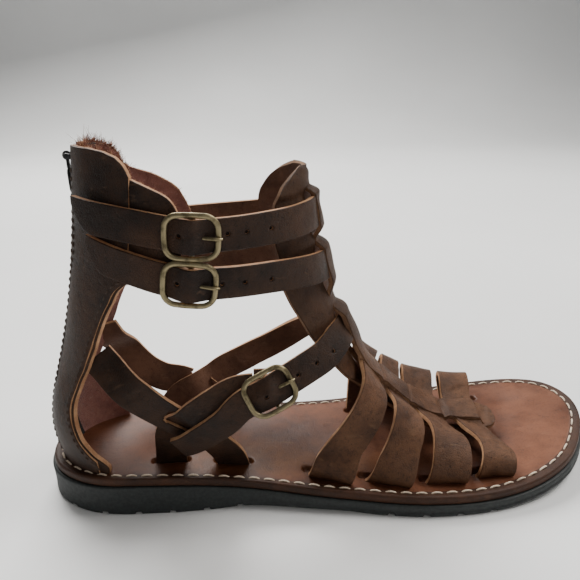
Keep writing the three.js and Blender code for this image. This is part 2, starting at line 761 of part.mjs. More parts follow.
function buckleFrame(strapWidth, raise, matrix, spare) {
  const inside = strapWidth + 4 * clearance;
  const width = inside + 2 * frameBar;
  const length = frameLength + 2 * spare;
  const shape = roundedOutline(length, width + 2 * spare, frameBar * 2, new THREE.Shape());
  const window = length - 2 * frameBar - 4 * spare;
  shape.holes.push(roundedOutline(window, inside - 2 * spare, frameBar, new THREE.Path()));
  const depth = frameDepth + 2 * spare;
  const ring = new THREE.ExtrudeGeometry(shape, { depth, bevelEnabled: false, curveSegments: 4 });
  ring.translate(0, 0, ringLow + raise - spare);
  const thick = centreBarRadius + spare;
  const bar = new THREE.CylinderGeometry(thick, thick, width - frameBar, 12);
  bar.translate(0, 0, eyeCentre + raise);
  const solids = [solidOf(ring), solidOf(bar)];
  const postHeight = ringLow + frameDepth / 2 - eyeCentre + centreBarRadius;
  for (const side of [-1, 1]) {
    const post = new THREE.BoxGeometry(2 * centreBarRadius, frameBar * 0.9, postHeight);
    post.translate(0, side * (width - frameBar) / 2, eyeCentre - centreBarRadius + postHeight / 2 + raise);
    solids.push(solidOf(post));
  }
  return placed(joined(solids), matrix);
}

function placed(solid, matrix) {
  return solid.transform(matrix.elements);
}

// Turned leather tab round the centre bar, slotted for the prong
function buckleTab(width, reach, raise, matrix) {
  const shape = new THREE.Shape();
  const low = raise;
  const high = raise + counterLeather;
  shape.moveTo(-reach, low);
  shape.lineTo(0, low);
  shape.lineTo(eyeRadius * 0.5, low);
  shape.absarc(0, eyeCentre + raise, eyeRadius, -Math.PI * 0.4, Math.PI * 0.8);
  shape.lineTo(-eyeRadius * 1.4, high);
  shape.lineTo(-reach, high);
  shape.closePath();
  const hole = new THREE.Path();
  hole.absarc(0, eyeCentre + raise, centreBarRadius + clearance, 0, 2 * Math.PI, true);
  shape.holes.push(hole);
  const geometry = new THREE.ExtrudeGeometry(shape, { depth: width, bevelEnabled: false, curveSegments: 7 });
  geometry.translate(0, 0, -width / 2);
  geometry.rotateX(Math.PI / 2);
  const slot = new THREE.BoxGeometry(2.4 * eyeRadius, prongWidth + 2 * clearance, 4 * eyeRadius);
  slot.translate(0.35 * eyeRadius, 0, eyeCentre + raise);
  return placed(solidOf(geometry).subtract(solidOf(slot)), matrix);
}

// Prong: a ring on the centre bar and an arm that lies on the far bar of the frame
function buckleProng(raise, matrix, spare) {
  const inner = centreBarRadius + clearance;
  const outer = inner + 0.9;
  const rest = ringLow + frameDepth + clearance + raise;
  const centre = eyeCentre + raise;
  const thick = 1.3;
  const shape = new THREE.Shape();
  shape.moveTo(outer * Math.cos(0.2) + spare, centre + outer * Math.sin(0.2) - spare);
  shape.lineTo(frameLength * 0.3, rest - 0.3 - spare);
  shape.lineTo(frameLength * 0.52 + spare, rest - spare);
  shape.lineTo(frameLength * 0.52 + spare, rest + thick + spare);
  shape.lineTo(frameLength * 0.3, rest + thick + spare);
  shape.lineTo(outer * Math.cos(1.3) - spare, centre + outer * Math.sin(1.3) + spare);
  shape.absarc(0, centre, outer + spare, 1.3, 2 * Math.PI + 0.2);
  shape.closePath();
  const hole = new THREE.Path();
  hole.absarc(0, centre, inner, 0, 2 * Math.PI, true);
  if (!spare) shape.holes.push(hole);
  const width = prongWidth + 2 * spare;
  const geometry = new THREE.ExtrudeGeometry(shape, { depth: width, bevelEnabled: false, curveSegments: 7 });
  geometry.translate(0, 0, -width / 2);
  geometry.rotateX(Math.PI / 2);
  return placed(solidOf(geometry), matrix);
}

// Where the ankle buckles sit on the shaft
function ankleFrame(rows) {
  const at = (turn) => shaftPoint(turn, shaftHeight * readTable(rows, 'turn', 'up', turn));
  const along = at(buckleTurn - 6).sub(at(buckleTurn + 6));
  return frameMatrix(at(buckleTurn), along, new THREE.Vector3(0, -1, 0));
}

// Where the instep buckle sits on the last, at the end of its holder
const buckleRows = stepped(sideStraps.buckleStrap);
const instepRows = stepped(sideStraps.instepStrap);
const holderEnd = buckleRows.length - 1;
const instepRaise = layerLow(buckleRows[holderEnd].layer);

function instepFrame() {
  const spot = (at) => lastPoint(
    soleLength * readTable(instepRows, 'step', 'along', at),
    readTable(instepRows, 'step', 'round', at),
  );
  const end = buckleRows[holderEnd];
  const x = soleLength * end.along;
  const point = lastPoint(x, end.round);
  const along = spot(13.5).sub(spot(16.5));
  return frameMatrix(point, along, lastNormal(x, end.round));
}

// Zip: foot and top of its tape, slider near the top between the counter halves
const tapeDepth = tapeThickness + 3 * clearance;
const zipFoot = soleTopAt(-halfLength) + clearance + footbedThickness;
const zipTop = shaftHeight - clearance;
const sliderUp = 0.955;
const sliderLength = 9;
const sliderWidth = zipGap - 3 * clearance;
const sliderThickness = 2.2;
const sliderLow = teethHeight + clearance;
const sliderHigh = sliderLow + sliderThickness;
const pullEye = bailRadius + clearance + 0.8;
const bailOut = sliderHigh + clearance + pullEye;
const bailAlong = sliderLength * 0.25;
const eyeWidth = 3;

function tapeRoom() {
  return rearStrip(
    tapeWidth + 2 * clearance,
    -tapeDepth - clearance,
    teethHeight + clearance,
    zipFoot - halfBall * 0.2,
    shaftHeight,
  );
}

function zipFrame() {
  const z = shaftHeight * sliderUp;
  const up = shaftPoint(180, z + 4).sub(shaftPoint(180, z - 4));
  return frameMatrix(shaftPoint(180, z), up, new THREE.Vector3(-1, 0, 0));
}

function zipSlider(matrix) {
  const plateShape = roundedOutline(sliderLength, sliderWidth, 2, new THREE.Shape());
  const body = new THREE.ExtrudeGeometry(plateShape, { depth: sliderThickness, bevelEnabled: false, curveSegments: 3 });
  body.translate(0, 0, sliderLow);
  const cheekGap = eyeWidth + 2 * clearance;
  const bar = new THREE.CylinderGeometry(bailRadius, bailRadius, cheekGap + 1.6, 12);
  bar.translate(bailAlong, 0, bailOut);
  const solids = [solidOf(body), solidOf(bar)];
  for (const edge of [-1, 1]) {
    const height = bailOut + bailRadius - sliderHigh + 0.4;
    const cheek = new THREE.BoxGeometry(2.4, 1, height);
    cheek.translate(bailAlong, edge * (cheekGap / 2 + 0.5), sliderHigh - 0.4 + height / 2);
    solids.push(solidOf(cheek));
  }
  return placed(joined(solids), matrix);
}

// Pull tab: eye round the bail bar, tag hanging straight down from it
function zipPull(matrix) {
  const centre = new THREE.Vector3(bailAlong, 0, bailOut).applyMatrix4(matrix);
  const shape = new THREE.Shape();
  const lean = Math.asin(pullThickness / 2 / pullEye);
  shape.moveTo(pullThickness / 2, -pullLength);
  shape.lineTo(pullThickness / 2, -pullEye * Math.cos(lean));
  shape.absarc(0, 0, pullEye, -Math.PI / 2 + lean, 1.5 * Math.PI - lean);
  shape.lineTo(-pullThickness / 2, -pullLength);
  shape.closePath();
  const hole = new THREE.Path();
  hole.absarc(0, 0, bailRadius + clearance, 0, 2 * Math.PI, true);
  shape.holes.push(hole);
  const geometry = new THREE.ExtrudeGeometry(shape, { depth: eyeWidth, bevelEnabled: false, curveSegments: 7 });
  geometry.translate(0, 0, -eyeWidth / 2);
  geometry.rotateX(Math.PI / 2);
  const tag = roundedOutline(pullLength * 0.6, pullWidth, 1.6, new THREE.Shape());
  const plateTag = new THREE.ExtrudeGeometry(tag, { depth: pullThickness, bevelEnabled: false, curveSegments: 3 });
  plateTag.translate(0, 0, -pullThickness / 2);
  plateTag.rotateY(Math.PI / 2);
  plateTag.translate(0, 0, -pullLength * 0.72);
  const move = new THREE.Matrix4().makeTranslation(centre.x, centre.y, centre.z);
  return placed(solidOf(geometry).add(solidOf(plateTag)), move);
}

// Grooves of the tread across heel and forefoot
function treadGrooves() {
  const cuts = [];
  for (const [from, to] of [[-0.45, -0.16], [0.08, 0.3]]) {
    const count = Math.floor((to - from) * soleLength / groovePitch);
    for (let k = 0; k <= count; k += 1) {
      const x = soleLength * from + k * groovePitch;
      const cut = new THREE.BoxGeometry(grooveWidth, 2 * ballWidth, 2 * grooveDepth);
      cut.translate(x, 0, undersideAt(x));
      cuts.push(solidOf(cut));
    }
  }
  return cuts;
}

const colours = {
  rubber: { color: 0x1f2726, roughness: 0.75, metalness: 0 },
  footbed: { color: 0x9a5f48, roughness: 0.6, metalness: 0 },
  leather: { color: 0x5a4132, roughness: 0.65, metalness: 0 },
  brass: { color: 0x8a8468, roughness: 0.35, metalness: 1 },
  tape: { color: 0x17181a, roughness: 0.9, metalness: 0 },
  blackMetal: { color: 0x2a2b2d, roughness: 0.4, metalness: 1 },
};

const sandal = new THREE.Group();

function addPart(name, solid, finish) {
  const mesh = solid.getMesh();
  const geometry = new THREE.BufferGeometry();
  geometry.setAttribute('position', new THREE.BufferAttribute(mesh.vertProperties, 3));
  geometry.setIndex(new THREE.BufferAttribute(mesh.triVerts, 1));
  geometry.computeVertexNormals();
  const part = new THREE.Mesh(geometry, new THREE.MeshStandardMaterial(colours[finish]));
  part.name = name;
  sandal.add(part);
}

// Upper first, so that the footbed takes its slots from it; the seat trims every foot
// of the upper parallel to the sole
const seat = soleSlab(-footbedInset, () => -halfBall, (x) => soleTopAt(x) + clearance, 64);
const wide = { counters: [counterHalf(1, clearance), counterHalf(-1, clearance)] };
wide.toe = toeStraps.map((rows) => toeStrap(rows, clearance));

const ankleMatrices = { upper: ankleFrame(ankleStraps.upper), lower: ankleFrame(ankleStraps.lower) };
const instepMatrix = instepFrame();
const barPoint = new THREE.Vector3().setFromMatrixPosition(instepMatrix);
const prongs = {
  upper: [0, ankleMatrices.upper],
  lower: [0, ankleMatrices.lower],
  instep: [instepRaise, instepMatrix],
};
const prongRoom = (name) => buckleProng(prongs[name][0], prongs[name][1], clearance);

const counterLateral = joined([
  counterHalf(1, 0),
  buckleTab(ankleStrapWidth - 1, frameLength * 0.35, 0, ankleMatrices.upper),
  buckleTab(ankleStrapWidth - 1, frameLength * 0.35, 0, ankleMatrices.lower),
]);

const side = (name, spare) => {
  const width = name === 'buckleStrap' || name === 'instepStrap' ? instepStrapWidth : sideStrapWidth;
  const overEye = name === 'instepStrap' ? barPoint : null;
  return sideStrap(sideStraps[name], width, spare, name === 'instepStrap' ? 60 : 26, overEye);
};
wide.side = ['buckleStrap', 'instepStrap', 'strapLateral', 'strapMedial'].map((name) => side(name, clearance));
const [wideBuckle, wideInstep] = wide.side;
const strapBuckle = side('buckleStrap', 0)
  .add(buckleTab(instepStrapWidth - 1, frameLength * 0.4, instepRaise, instepMatrix));

addPart('outsole', without(soleSlab(0, undersideAt, soleTopAt, 72), treadGrooves()), 'rubber');
const board = soleSlab(footbedInset, (x) => soleTopAt(x) + clearance, footbedTopAt, 64);
addPart('footbed', without(board, [...wide.counters, ...wide.toe, ...wide.side, tapeRoom()]), 'footbed');
const wideAnkle = ['upper', 'lower'].map((name) => ankleStrap(ankleStraps[name], clearance));
addPart('counter_lateral', without(counterLateral, [seat, ...wideAnkle]), 'leather');
addPart('counter_medial', without(counterHalf(-1, 0), [seat, ...wideAnkle]), 'leather');
addPart('strap_lateral', without(side('strapLateral', 0), [seat, wideBuckle, ...wide.counters]), 'leather');
addPart('strap_medial', without(side('strapMedial', 0), [seat, wideInstep, ...wide.counters]), 'leather');
addPart('strap_buckle', without(strapBuckle, [seat, wideInstep]), 'leather');
const frameRoom = buckleFrame(instepStrapWidth, instepRaise, instepMatrix, clearance);
addPart('strap_instep', without(side('instepStrap', 0), [seat, prongRoom('instep'), frameRoom]), 'leather');
toeStraps.forEach((rows, k) => addPart(`toe_strap_${k + 1}`, toeStrap(rows, 0).subtract(seat), 'leather'));
for (const name of ['upper', 'lower']) {
  const strap = ankleStrap(ankleStraps[name], 0).subtract(prongRoom(name));
  addPart(`ankle_strap_${name}`, strap, 'leather');
  addPart(`buckle_${name}`, buckleFrame(ankleStrapWidth, 0, ankleMatrices[name], 0), 'brass');
}
addPart('buckle_instep', buckleFrame(instepStrapWidth, instepRaise, instepMatrix, 0), 'brass');
for (const name of Object.keys(prongs)) {
  addPart(`prong_${name}`, buckleProng(prongs[name][0], prongs[name][1], 0), 'brass');
}
addPart('tongue', tongue([...wide.toe, wideInstep, ...wideAnkle]), 'leather');
addPart('zip_tape', rearStrip(tapeWidth, -tapeDepth, -3 * clearance, zipFoot, zipTop), 'tape');
addPart('zip_teeth', rearStrip(teethWidth, -2 * clearance, teethHeight, zipFoot, zipTop - clearance), 'blackMetal');
addPart('zip_slider', zipSlider(zipFrame()), 'blackMetal');
addPart('zip_pull', zipPull(zipFrame()), 'blackMetal');

export default sandal;
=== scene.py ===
import math
import bpy
import numpy as np
from mathutils import Matrix, Vector


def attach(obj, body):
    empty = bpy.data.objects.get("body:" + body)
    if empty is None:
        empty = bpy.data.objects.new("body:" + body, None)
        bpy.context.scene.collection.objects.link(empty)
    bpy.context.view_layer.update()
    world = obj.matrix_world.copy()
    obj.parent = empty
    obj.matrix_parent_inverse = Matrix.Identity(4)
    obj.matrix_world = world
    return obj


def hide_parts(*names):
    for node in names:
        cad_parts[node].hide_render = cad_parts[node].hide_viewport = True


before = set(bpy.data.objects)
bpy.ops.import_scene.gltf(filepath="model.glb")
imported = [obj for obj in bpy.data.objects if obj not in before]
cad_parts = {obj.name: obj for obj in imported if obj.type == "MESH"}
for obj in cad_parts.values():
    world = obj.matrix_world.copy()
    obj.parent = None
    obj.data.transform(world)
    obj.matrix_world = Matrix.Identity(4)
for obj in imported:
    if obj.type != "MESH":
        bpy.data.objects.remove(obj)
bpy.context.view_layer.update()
mm = 0.001

# Shape of the last, as in the solids, in mm
last = dict(length=284.0, ball=100.0, shaft=168.0, gap=0.3, strap=2.4, counter=2.6, footbed=4.0,
            heel=15.5, fore=6.0, spring=9.0, arch=1.5, slot=15.5, toeSlot=19.0, inset=1.5, ridge=0.06)
halfLength, halfBall, shaftHeight = last["length"] / 2, last["ball"] / 2, last["shaft"]
strapLeather, counterLeather, gap = last["strap"], last["counter"], last["gap"]


# One array per column of a short table
def columns(names, lines):
    return {n: np.array(c, float) for n, c in zip(names.split(), zip(*lines))}


outlineRows = columns("turn lateral medial", [
    (0.0, 0.02, 0.02), (0.1, -0.35, 0.38), (0.2, -0.6, 0.63), (0.3, -0.665, 0.69), (0.4, -0.68, 0.7),
    (0.5, -0.84, 0.78), (0.6, -0.984, 0.91), (0.7, -0.935, 0.99), (0.8, -0.67, 0.93), (0.9, -0.19, 0.7),
    (1.0, 0.28, 0.28)])
wallRows = columns("along share", [(0.0, 1.0), (0.22, 0.97), (0.35, 0.52), (0.5, 0.15), (0.66, 0.0), (1.0, -0.04)])
lastRows = columns("along shoulder shoulderUp ridgeUp hump humpUp", [
    (-0.4, -0.5, 0.4, 0.75, 0.54, 0.4), (-0.3, -0.5, 0.38, 0.75, 0.56, 0.38),
    (-0.18, -0.52, 0.36, 0.7, 0.56, 0.37), (-0.09, -0.53, 0.35, 0.62, 0.57, 0.37),
    (0.0, -0.5, 0.31, 0.5, 0.56, 0.35), (0.035, -0.48, 0.29, 0.4, 0.54, 0.33),
    (0.07, -0.46, 0.26, 0.295, 0.54, 0.295), (0.14, -0.47, 0.18, 0.18, 0.54, 0.232),
    (0.21, -0.53, 0.13, 0.122, 0.56, 0.185), (0.32, -0.62, 0.095, 0.1, 0.56, 0.155)])
shaftRows = columns("up rear middle front half", [
    (0.08, -0.459, -0.33, 0.0, 0.5), (0.2, -0.472, -0.32, 0.0, 0.56), (0.3, -0.465, -0.303, 0.0, 0.57),
    (0.45, -0.437, -0.266, 0.01, 0.57), (0.6, -0.412, -0.23, -0.016, 0.57),
    (0.8, -0.388, -0.212, -0.04, 0.56), (1.0, -0.372, -0.2, -0.055, 0.52)])
counterRows = columns("up outer inner", [
    (0.08, -0.39, -0.39), (0.14, -0.378, -0.378), (0.18, -0.4, -0.4), (0.23, -0.418, -0.418),
    (0.31, -0.423, -0.423), (0.39, -0.403, -0.403), (0.46, -0.383, -0.383), (0.54, -0.362, -0.362),
    (0.62, -0.338, -0.335), (0.68, -0.31, -0.3), (0.72, -0.24, -0.235), (0.84, -0.228, -0.245),
    (0.89, -0.24, -0.28), (0.92, -0.272, -0.318), (0.945, -0.303, -0.332), (0.97, -0.314, -0.342),
    (0.99, -0.326, -0.35), (1.0, -0.345, -0.358)])
# Rows of the straps: turn in degrees from the front, up, round, along and layer as shares of the named sizes
ankleRows = dict(
    upper=columns("turn up lift", [
        (-118, 0.745, 0), (-60, 0.766, 0), (-20, 0.807, 0), (0, 0.812, 0), (50, 0.808, 0), (90, 0.806, 0),
        (120, 0.83, 0.4), (150, 0.85, 3.5)]),
    lower=columns("turn up lift", [
        (-118, 0.632, 0), (-60, 0.634, 0), (-20, 0.659, 0), (0, 0.66, 0), (50, 0.682, 0), (90, 0.69, 0),
        (120, 0.73, 0.4), (142, 0.76, 1.2)]))
toeRows = [
    columns("round rear front", [
        (0, -0.06, -0.004), (0.14, -0.028, 0.042), (0.27, 0.028, 0.077), (0.38, 0.044, 0.077),
        (0.5, 0.042, 0.074), (0.62, 0.048, 0.086), (0.73, 0.06, 0.105), (1, 0.05, 0.11)]),
    columns("round rear front", [
        (0, 0.03, 0.102), (0.14, 0.073, 0.13), (0.27, 0.093, 0.147), (0.38, 0.097, 0.14), (0.5, 0.09, 0.128),
        (0.62, 0.098, 0.133), (0.73, 0.112, 0.146), (1, 0.117, 0.174)]),
    columns("round rear front", [
        (0, 0.138, 0.204), (0.14, 0.158, 0.217), (0.27, 0.165, 0.227), (0.38, 0.158, 0.218),
        (0.5, 0.143, 0.198), (0.62, 0.143, 0.206), (0.73, 0.154, 0.217), (1, 0.184, 0.244)]),
    columns("round rear front", [
        (0, 0.228, 0.29), (0.14, 0.243, 0.296), (0.27, 0.252, 0.306), (0.38, 0.243, 0.298),
        (0.5, 0.222, 0.277), (0.62, 0.226, 0.286), (0.73, 0.233, 0.293), (1, 0.258, 0.322)])]
sideRows = dict(
    strapLateral=columns("round along layer", [
        (0.33, -0.4, -1.1), (0.306, -0.376, -1), (0.279, -0.347, 0), (0.25, -0.312, 0.35),
        (0.216, -0.276, 0.3), (0.182, -0.241, 0.3), (0.133, -0.204, 0.3), (0.074, -0.18, 0.3),
        (0, -0.176, 0.3)]),
    strapMedial=columns("round along layer", [
        (0.69, -0.4, -1.1), (0.73, -0.385, -1), (0.775, -0.366, 0), (0.812, -0.34, 0.35), (0.835, -0.308, 0.3),
        (0.845, -0.272, 0.3), (0.868, -0.235, 0.3), (0.92, -0.2, 0.3), (1, -0.184, 0.3)]),
    buckleStrap=columns("round along layer", [
        (0, -0.284, -0.8), (0.054, -0.283, -0.8), (0.145, -0.276, -0.8), (0.183, -0.259, -0.5),
        (0.211, -0.242, 1.2), (0.232, -0.225, 1.4), (0.255, -0.197, 1.3), (0.274, -0.163, 1),
        (0.279, -0.114, 1)]),
    instepStrap=columns("round along layer", [
        (1, -0.3, -0.8), (0.93, -0.298, -0.8), (0.885, -0.278, -0.8), (0.858, -0.244, -0.5),
        (0.838, -0.216, 1.2), (0.815, -0.188, 1.4), (0.79, -0.14, 1.2), (0.765, -0.09, 1.1),
        (0.726, -0.043, 1.05), (0.656, 0.01, 1.05), (0.58, 0.02, 1.05), (0.5, 0.016, 1.05),
        (0.42, 0.004, 1.1), (0.36, -0.022, 1.6), (0.32, -0.06, 2.08), (0.279, -0.112, 2.08),
        (0.255, -0.154, 2.15), (0.224, -0.183, 2.4), (0.19, -0.216, 2.4), (0.159, -0.244, 2.35),
        (0.145, -0.262, 2.3)]))
tongueRows = columns("along up half drop lean", [
    (0.318, 0.097, 0.05, 0, 0.15), (0.311, 0.098, 0.13, 0, 0.15), (0.297, 0.1, 0.18, 0, 0.16),
    (0.268, 0.104, 0.2, 0, 0.17), (0.225, 0.114, 0.21, 0, 0.17), (0.18, 0.138, 0.21, 0, 0.17),
    (0.132, 0.192, 0.22, 0.03, 0.16), (0.076, 0.284, 0.25, 0.2, 0.1), (0.046, 0.355, 0.29, 0.5, 0.04),
    (0.022, 0.45, 0.33, 0.75, 0), (0.001, 0.545, 0.38, 0.85, 0), (-0.019, 0.655, 0.42, 0.9, 0),
    (-0.031, 0.735, 0.42, 0.9, -0.05), (-0.039, 0.81, 0.42, 0.9, -0.1), (-0.043, 0.87, 0.37, 0.85, -0.1),
    (-0.045, 0.91, 0.27, 0.7, -0.1), (-0.046, 0.93, 0.12, 0.5, -0.1)])
# Pinholes of the straps: along, across and radius from the strap's start, in mm
instepHoles = [(152.1, 8.6, 0.78), (161.5, 7.5, 0.78), (170.9, 7.4, 0.78), (185.6, 7.4, 0.78)]
upperHoles = [(135.5, 7.0, 0.78), (128.3, 6.9, 0.78), (118.6, 6.6, 0.78), (153.3, 6.75, 0.85)]
lowerHoles = [(149.6, 6.6, 0.78), (140.6, 6.5, 0.78), (129.8, 6.3, 0.78), (166.5, 6.75, 0.85)]


# Smooth cubic through the points (keys, values), flat past the ends
def cubic(keys, values, at):
    at = np.clip(np.asarray(at, float), keys[0], keys[-1])
    n = len(keys)
    before, after = np.maximum(np.arange(n) - 1, 0), np.minimum(np.arange(n) + 1, n - 1)
    slope = (values[after] - values[before]) / (keys[after] - keys[before])
    i = np.clip(np.searchsorted(keys, at, "right") - 1, 0, n - 2)
    span = keys[i + 1] - keys[i]
    t = (at - keys[i]) / span
    h = t * t * (3 - 2 * t)
    bend = slope[i] * t * (1 - t) ** 2 - slope[i + 1] * t * t * (1 - t)
    return values[i] * (1 - h) + values[i + 1] * h + span * bend


def table(rows, key, column, at):
    return cubic(rows[key], rows[column], at)


# 0 before start, 1 after end, an even S between
def smooth(start, end, at):
    t = np.clip((np.asarray(at, float) - start) / (end - start), 0, 1)
    return t * t * (3 - 2 * t)


# Side of the sole's outline at x: turn is the share of a half turn from heel to toe
def outlineAt(x, side):
    turn = np.arccos(np.clip(-np.asarray(x) / halfLength, -1, 1)) / np.pi
    return halfBall * table(outlineRows, "turn", side, turn)


def archAt(share):
    return last["arch"] * smooth(0.27, 0.36, share) * (1 - smooth(0.48, 0.58, share))


# Height of the underside: flat, lifted by the arch and by the toe spring
def undersideAt(x):
    share = np.asarray(x) / last["length"] + 0.5
    return last["spring"] * (np.maximum(share - 0.72, 0) / 0.28) ** 1.8 + archAt(share)


# Height of the outsole's upper face: thick at the heel, thin at the toe
def soleTopAt(x):
    share = np.asarray(x) / last["length"] + 0.5
    wall = last["fore"] + (last["heel"] - last["fore"]) * table(wallRows, "along", "share", share)
    return undersideAt(x) - archAt(share) + wall


# Height of the footbed's upper face
def footbedTopAt(x):
    return soleTopAt(x) + gap + last["footbed"]


# Point of the last: a cubic from the outer slot over shoulder, ridge and hump to the inner slot; round_ runs 0 to 1
def lastPoint(x, round_):
    x, round_ = np.broadcast_arrays(np.asarray(x, float), np.asarray(round_, float))
    share = x / last["length"]
    inset = last["slot"] + (last["toeSlot"] - last["slot"]) * smooth(0.1, 0.27, share)
    outer, inner = outlineAt(x, "lateral") + inset, outlineAt(x, "medial") - inset
    base, top = soleTopAt(x) - last["footbed"], footbedTopAt(x) + strapLeather
    at = {c: table(lastRows, "along", c, share) for c in lastRows if c != "along"}
    keys = np.array([0, 0.07, 0.27, 0.5, 0.73, 0.93, 1.0])
    ys = np.stack([outer, outer, halfBall * at["shoulder"], np.full_like(x, halfBall * last["ridge"]),
                   halfBall * at["hump"], inner, inner], -1)
    zs = np.stack([base, top, shaftHeight * at["shoulderUp"], shaftHeight * at["ridgeUp"],
                   shaftHeight * at["humpUp"], top, base], -1)
    lo, hi = np.maximum(np.arange(7) - 1, 0), np.minimum(np.arange(7) + 1, 6)
    i = np.clip(np.searchsorted(keys, round_, "right") - 1, 0, 5)
    span = keys[i + 1] - keys[i]
    t = (round_ - keys[i]) / span
    h = t * t * (3 - 2 * t)
    out = [x]
    for v in (ys, zs):
        slope = (v[..., hi] - v[..., lo]) / (keys[hi] - keys[lo])
        pick = lambda a, k: np.take_along_axis(a, k[..., None], -1)[..., 0]
        out.append(pick(v, i) * (1 - h) + pick(v, i + 1) * h
                   + span * (pick(slope, i) * t * (1 - t) ** 2 - pick(slope, i + 1) * t * t * (1 - t)))
    return np.stack(out, -1)


# Point of the shaft: half ellipses front and rear; turn in degrees from the front, outer side positive
def shaftPoint(turn, z):
    turn, z = np.broadcast_arrays(np.asarray(turn, float), np.asarray(z, float))
    at = {c: table(shaftRows, "up", c, z / shaftHeight) for c in shaftRows if c != "up"}
    middle = last["length"] * at["middle"]
    depth = np.where(np.abs(turn) > 90, middle - last["length"] * at["rear"], last["length"] * at["front"] - middle)
    a = np.radians(turn)
    return np.stack([middle + depth * np.cos(a), -halfBall * at["half"] * np.sin(a), z], -1)


# Unit normals of a grid of points, facing away from the foot
def gridNormals(p):
    n = np.cross(np.gradient(p, axis=0), np.gradient(p, axis=1))
    n /= np.linalg.norm(n, axis=-1, keepdims=True) + 1e-9
    high = p[..., 2] > 0.56 * shaftHeight
    core = np.stack([np.where(high, -0.21 * last["length"], p[..., 0]), np.zeros(p.shape[:2]),
                     np.where(high, p[..., 2], 0)], -1)
    facing = 1.0 if np.sum(n * (p - core)) > 0 else -1.0
    return n * facing, facing


# Soft unevenness of hand-made leather: a few slow waves through space, in mm
waves = [(np.random.default_rng(k).normal(size=3) * f, np.random.default_rng(k + 50).uniform(0, 6.28), a)
         for k, (f, a) in enumerate([(0.035, 0.3), (0.05, 0.25), (0.07, 0.2), (0.11, 0.14), (0.16, 0.1), (0.24, 0.06)])]


def unevenness(p, amount=1.0, seed=0):
    return amount * sum(a * np.sin(p @ w + phase + seed * 1.7) for w, phase, a in waves)


# Trough (negative depth) or ridge along a straight line in the (u, v) plane of a piece, in mm
def crease(u, v, at, to, depth, width):
    a, b = np.array(at, float), np.array(to, float)
    d = b - a
    length = np.hypot(*d) + 1e-9
    along = ((u - a[0]) * d[0] + (v - a[1]) * d[1]) / length
    off = ((v - a[1]) * d[0] - (u - a[0]) * d[1]) / length
    ends = smooth(-width, width * 2, along) * (1 - smooth(length - width * 2, length + width, along))
    return depth * ends * np.exp(-(off / width) ** 2)


# Faces turned so that the closed shape holds a positive volume
def outward(verts, faces):
    verts, volume = np.asarray(verts), 0.0
    for f in faces:
        for k in range(1, np.shape(f)[1] - 1):
            a, b, c = verts[f[:, 0]], verts[f[:, k]], verts[f[:, k + 1]]
            volume += np.sum(a * np.cross(b, c))
    return [f[:, ::-1] for f in faces] if volume < 0 else faces


# Object of loose face arrays in mm, riding on a body; points that no face uses are dropped
def objectFrom(name, verts, faces, slots, materials, smoothAngle=40, body="sandal"):
    faces = outward(verts, faces)
    used = np.unique(np.concatenate([np.asarray(f).ravel() for f in faces]))
    index = np.zeros(len(verts), np.int64)
    index[used] = np.arange(len(used))
    mesh = bpy.data.meshes.new(name)
    quads = [index[f] for f in faces]
    loops = np.concatenate([q.ravel() for q in quads]).astype(np.int32)
    sizes = np.concatenate([np.full(len(q), q.shape[1]) for q in quads]).astype(np.int32)
    v = np.asarray(verts)[used] * mm
    mesh.vertices.add(len(v))
    mesh.vertices.foreach_set("co", v.astype(np.float32).ravel())
    mesh.loops.add(len(loops))
    mesh.loops.foreach_set("vertex_index", loops)
    mesh.polygons.add(len(sizes))
    mesh.polygons.foreach_set("loop_start", np.concatenate([[0], np.cumsum(sizes)[:-1]]).astype(np.int32))
    for m in materials:
        mesh.materials.append(m)
    slotOf = np.concatenate([np.full(len(q), s) for q, s in zip(quads, slots)])
    mesh.polygons.foreach_set("material_index", slotOf.astype(np.int32))
    mesh.update(calc_edges=True)
    mesh.validate()
    mesh.shade_smooth()
    mesh.set_sharp_from_angle(angle=math.radians(smoothAngle))
    obj = bpy.data.objects.new(name, mesh)
    bpy.context.scene.collection.objects.link(obj)
    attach(obj, body)
    return obj


# Closed piece between two offset copies of a grid; cells not kept are left open with walls round them
def plate(name, p, low, high, materials, keep=None, roll=0.45, replaces=(), normals=None,
          extra=None, joins=None):
    normal, facing = gridNormals(p) if normals is None else normals
    nu, nv = p.shape[:2]
    keep = np.ones((nu - 1, nv - 1), bool) if keep is None else keep
    low = np.broadcast_to(np.asarray(low, float), (nu, nv))
    high = np.broadcast_to(np.asarray(high, float), (nu, nv)) + unevenness(p, 0.35)
    if extra is not None:
        high, low = high + extra, low + 0.7 * extra
    if roll:
        edge = edgeDistance(p, keep, joins)
        high = high - (roll - np.sqrt(np.maximum(roll ** 2 - np.maximum(roll - edge, 0) ** 2, 0)))
    top, bottom = p + normal * high[..., None], p + normal * low[..., None]
    ids = np.arange(nu * nv).reshape(nu, nv)
    under = ids + nu * nv
    k = keep
    corner = lambda g: [g[:-1, :-1][k], g[1:, :-1][k], g[1:, 1:][k], g[:-1, 1:][k]]
    faceTop, faceBottom = np.stack(corner(ids), 1), np.stack(corner(under)[::-1], 1)
    walls = []
    padded = np.pad(k, 1)
    borders = ((-1, 0, (0, 0), (0, 1)), (1, 0, (1, 1), (1, 0)), (0, -1, (1, 0), (0, 0)), (0, 1, (0, 1), (1, 1)))
    for di, dj, a, b in borders:
        rim = k & ~padded[1 + di:nu + di, 1 + dj:nv + dj]
        i, j = np.nonzero(rim)
        ta, tb = ids[i + a[0], j + a[1]], ids[i + b[0], j + b[1]]
        walls.append(np.stack([ta, tb, tb + nu * nv, ta + nu * nv], 1))
    faces = [faceTop, np.concatenate(walls), faceBottom]
    if facing < 0:
        faces = [f[:, ::-1] for f in faces]
    obj = objectFrom(name, np.concatenate([top.reshape(-1, 3), bottom.reshape(-1, 3)]), faces, [0, 1, 2], materials)
    if replaces:
        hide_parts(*replaces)
    return obj, top, normal


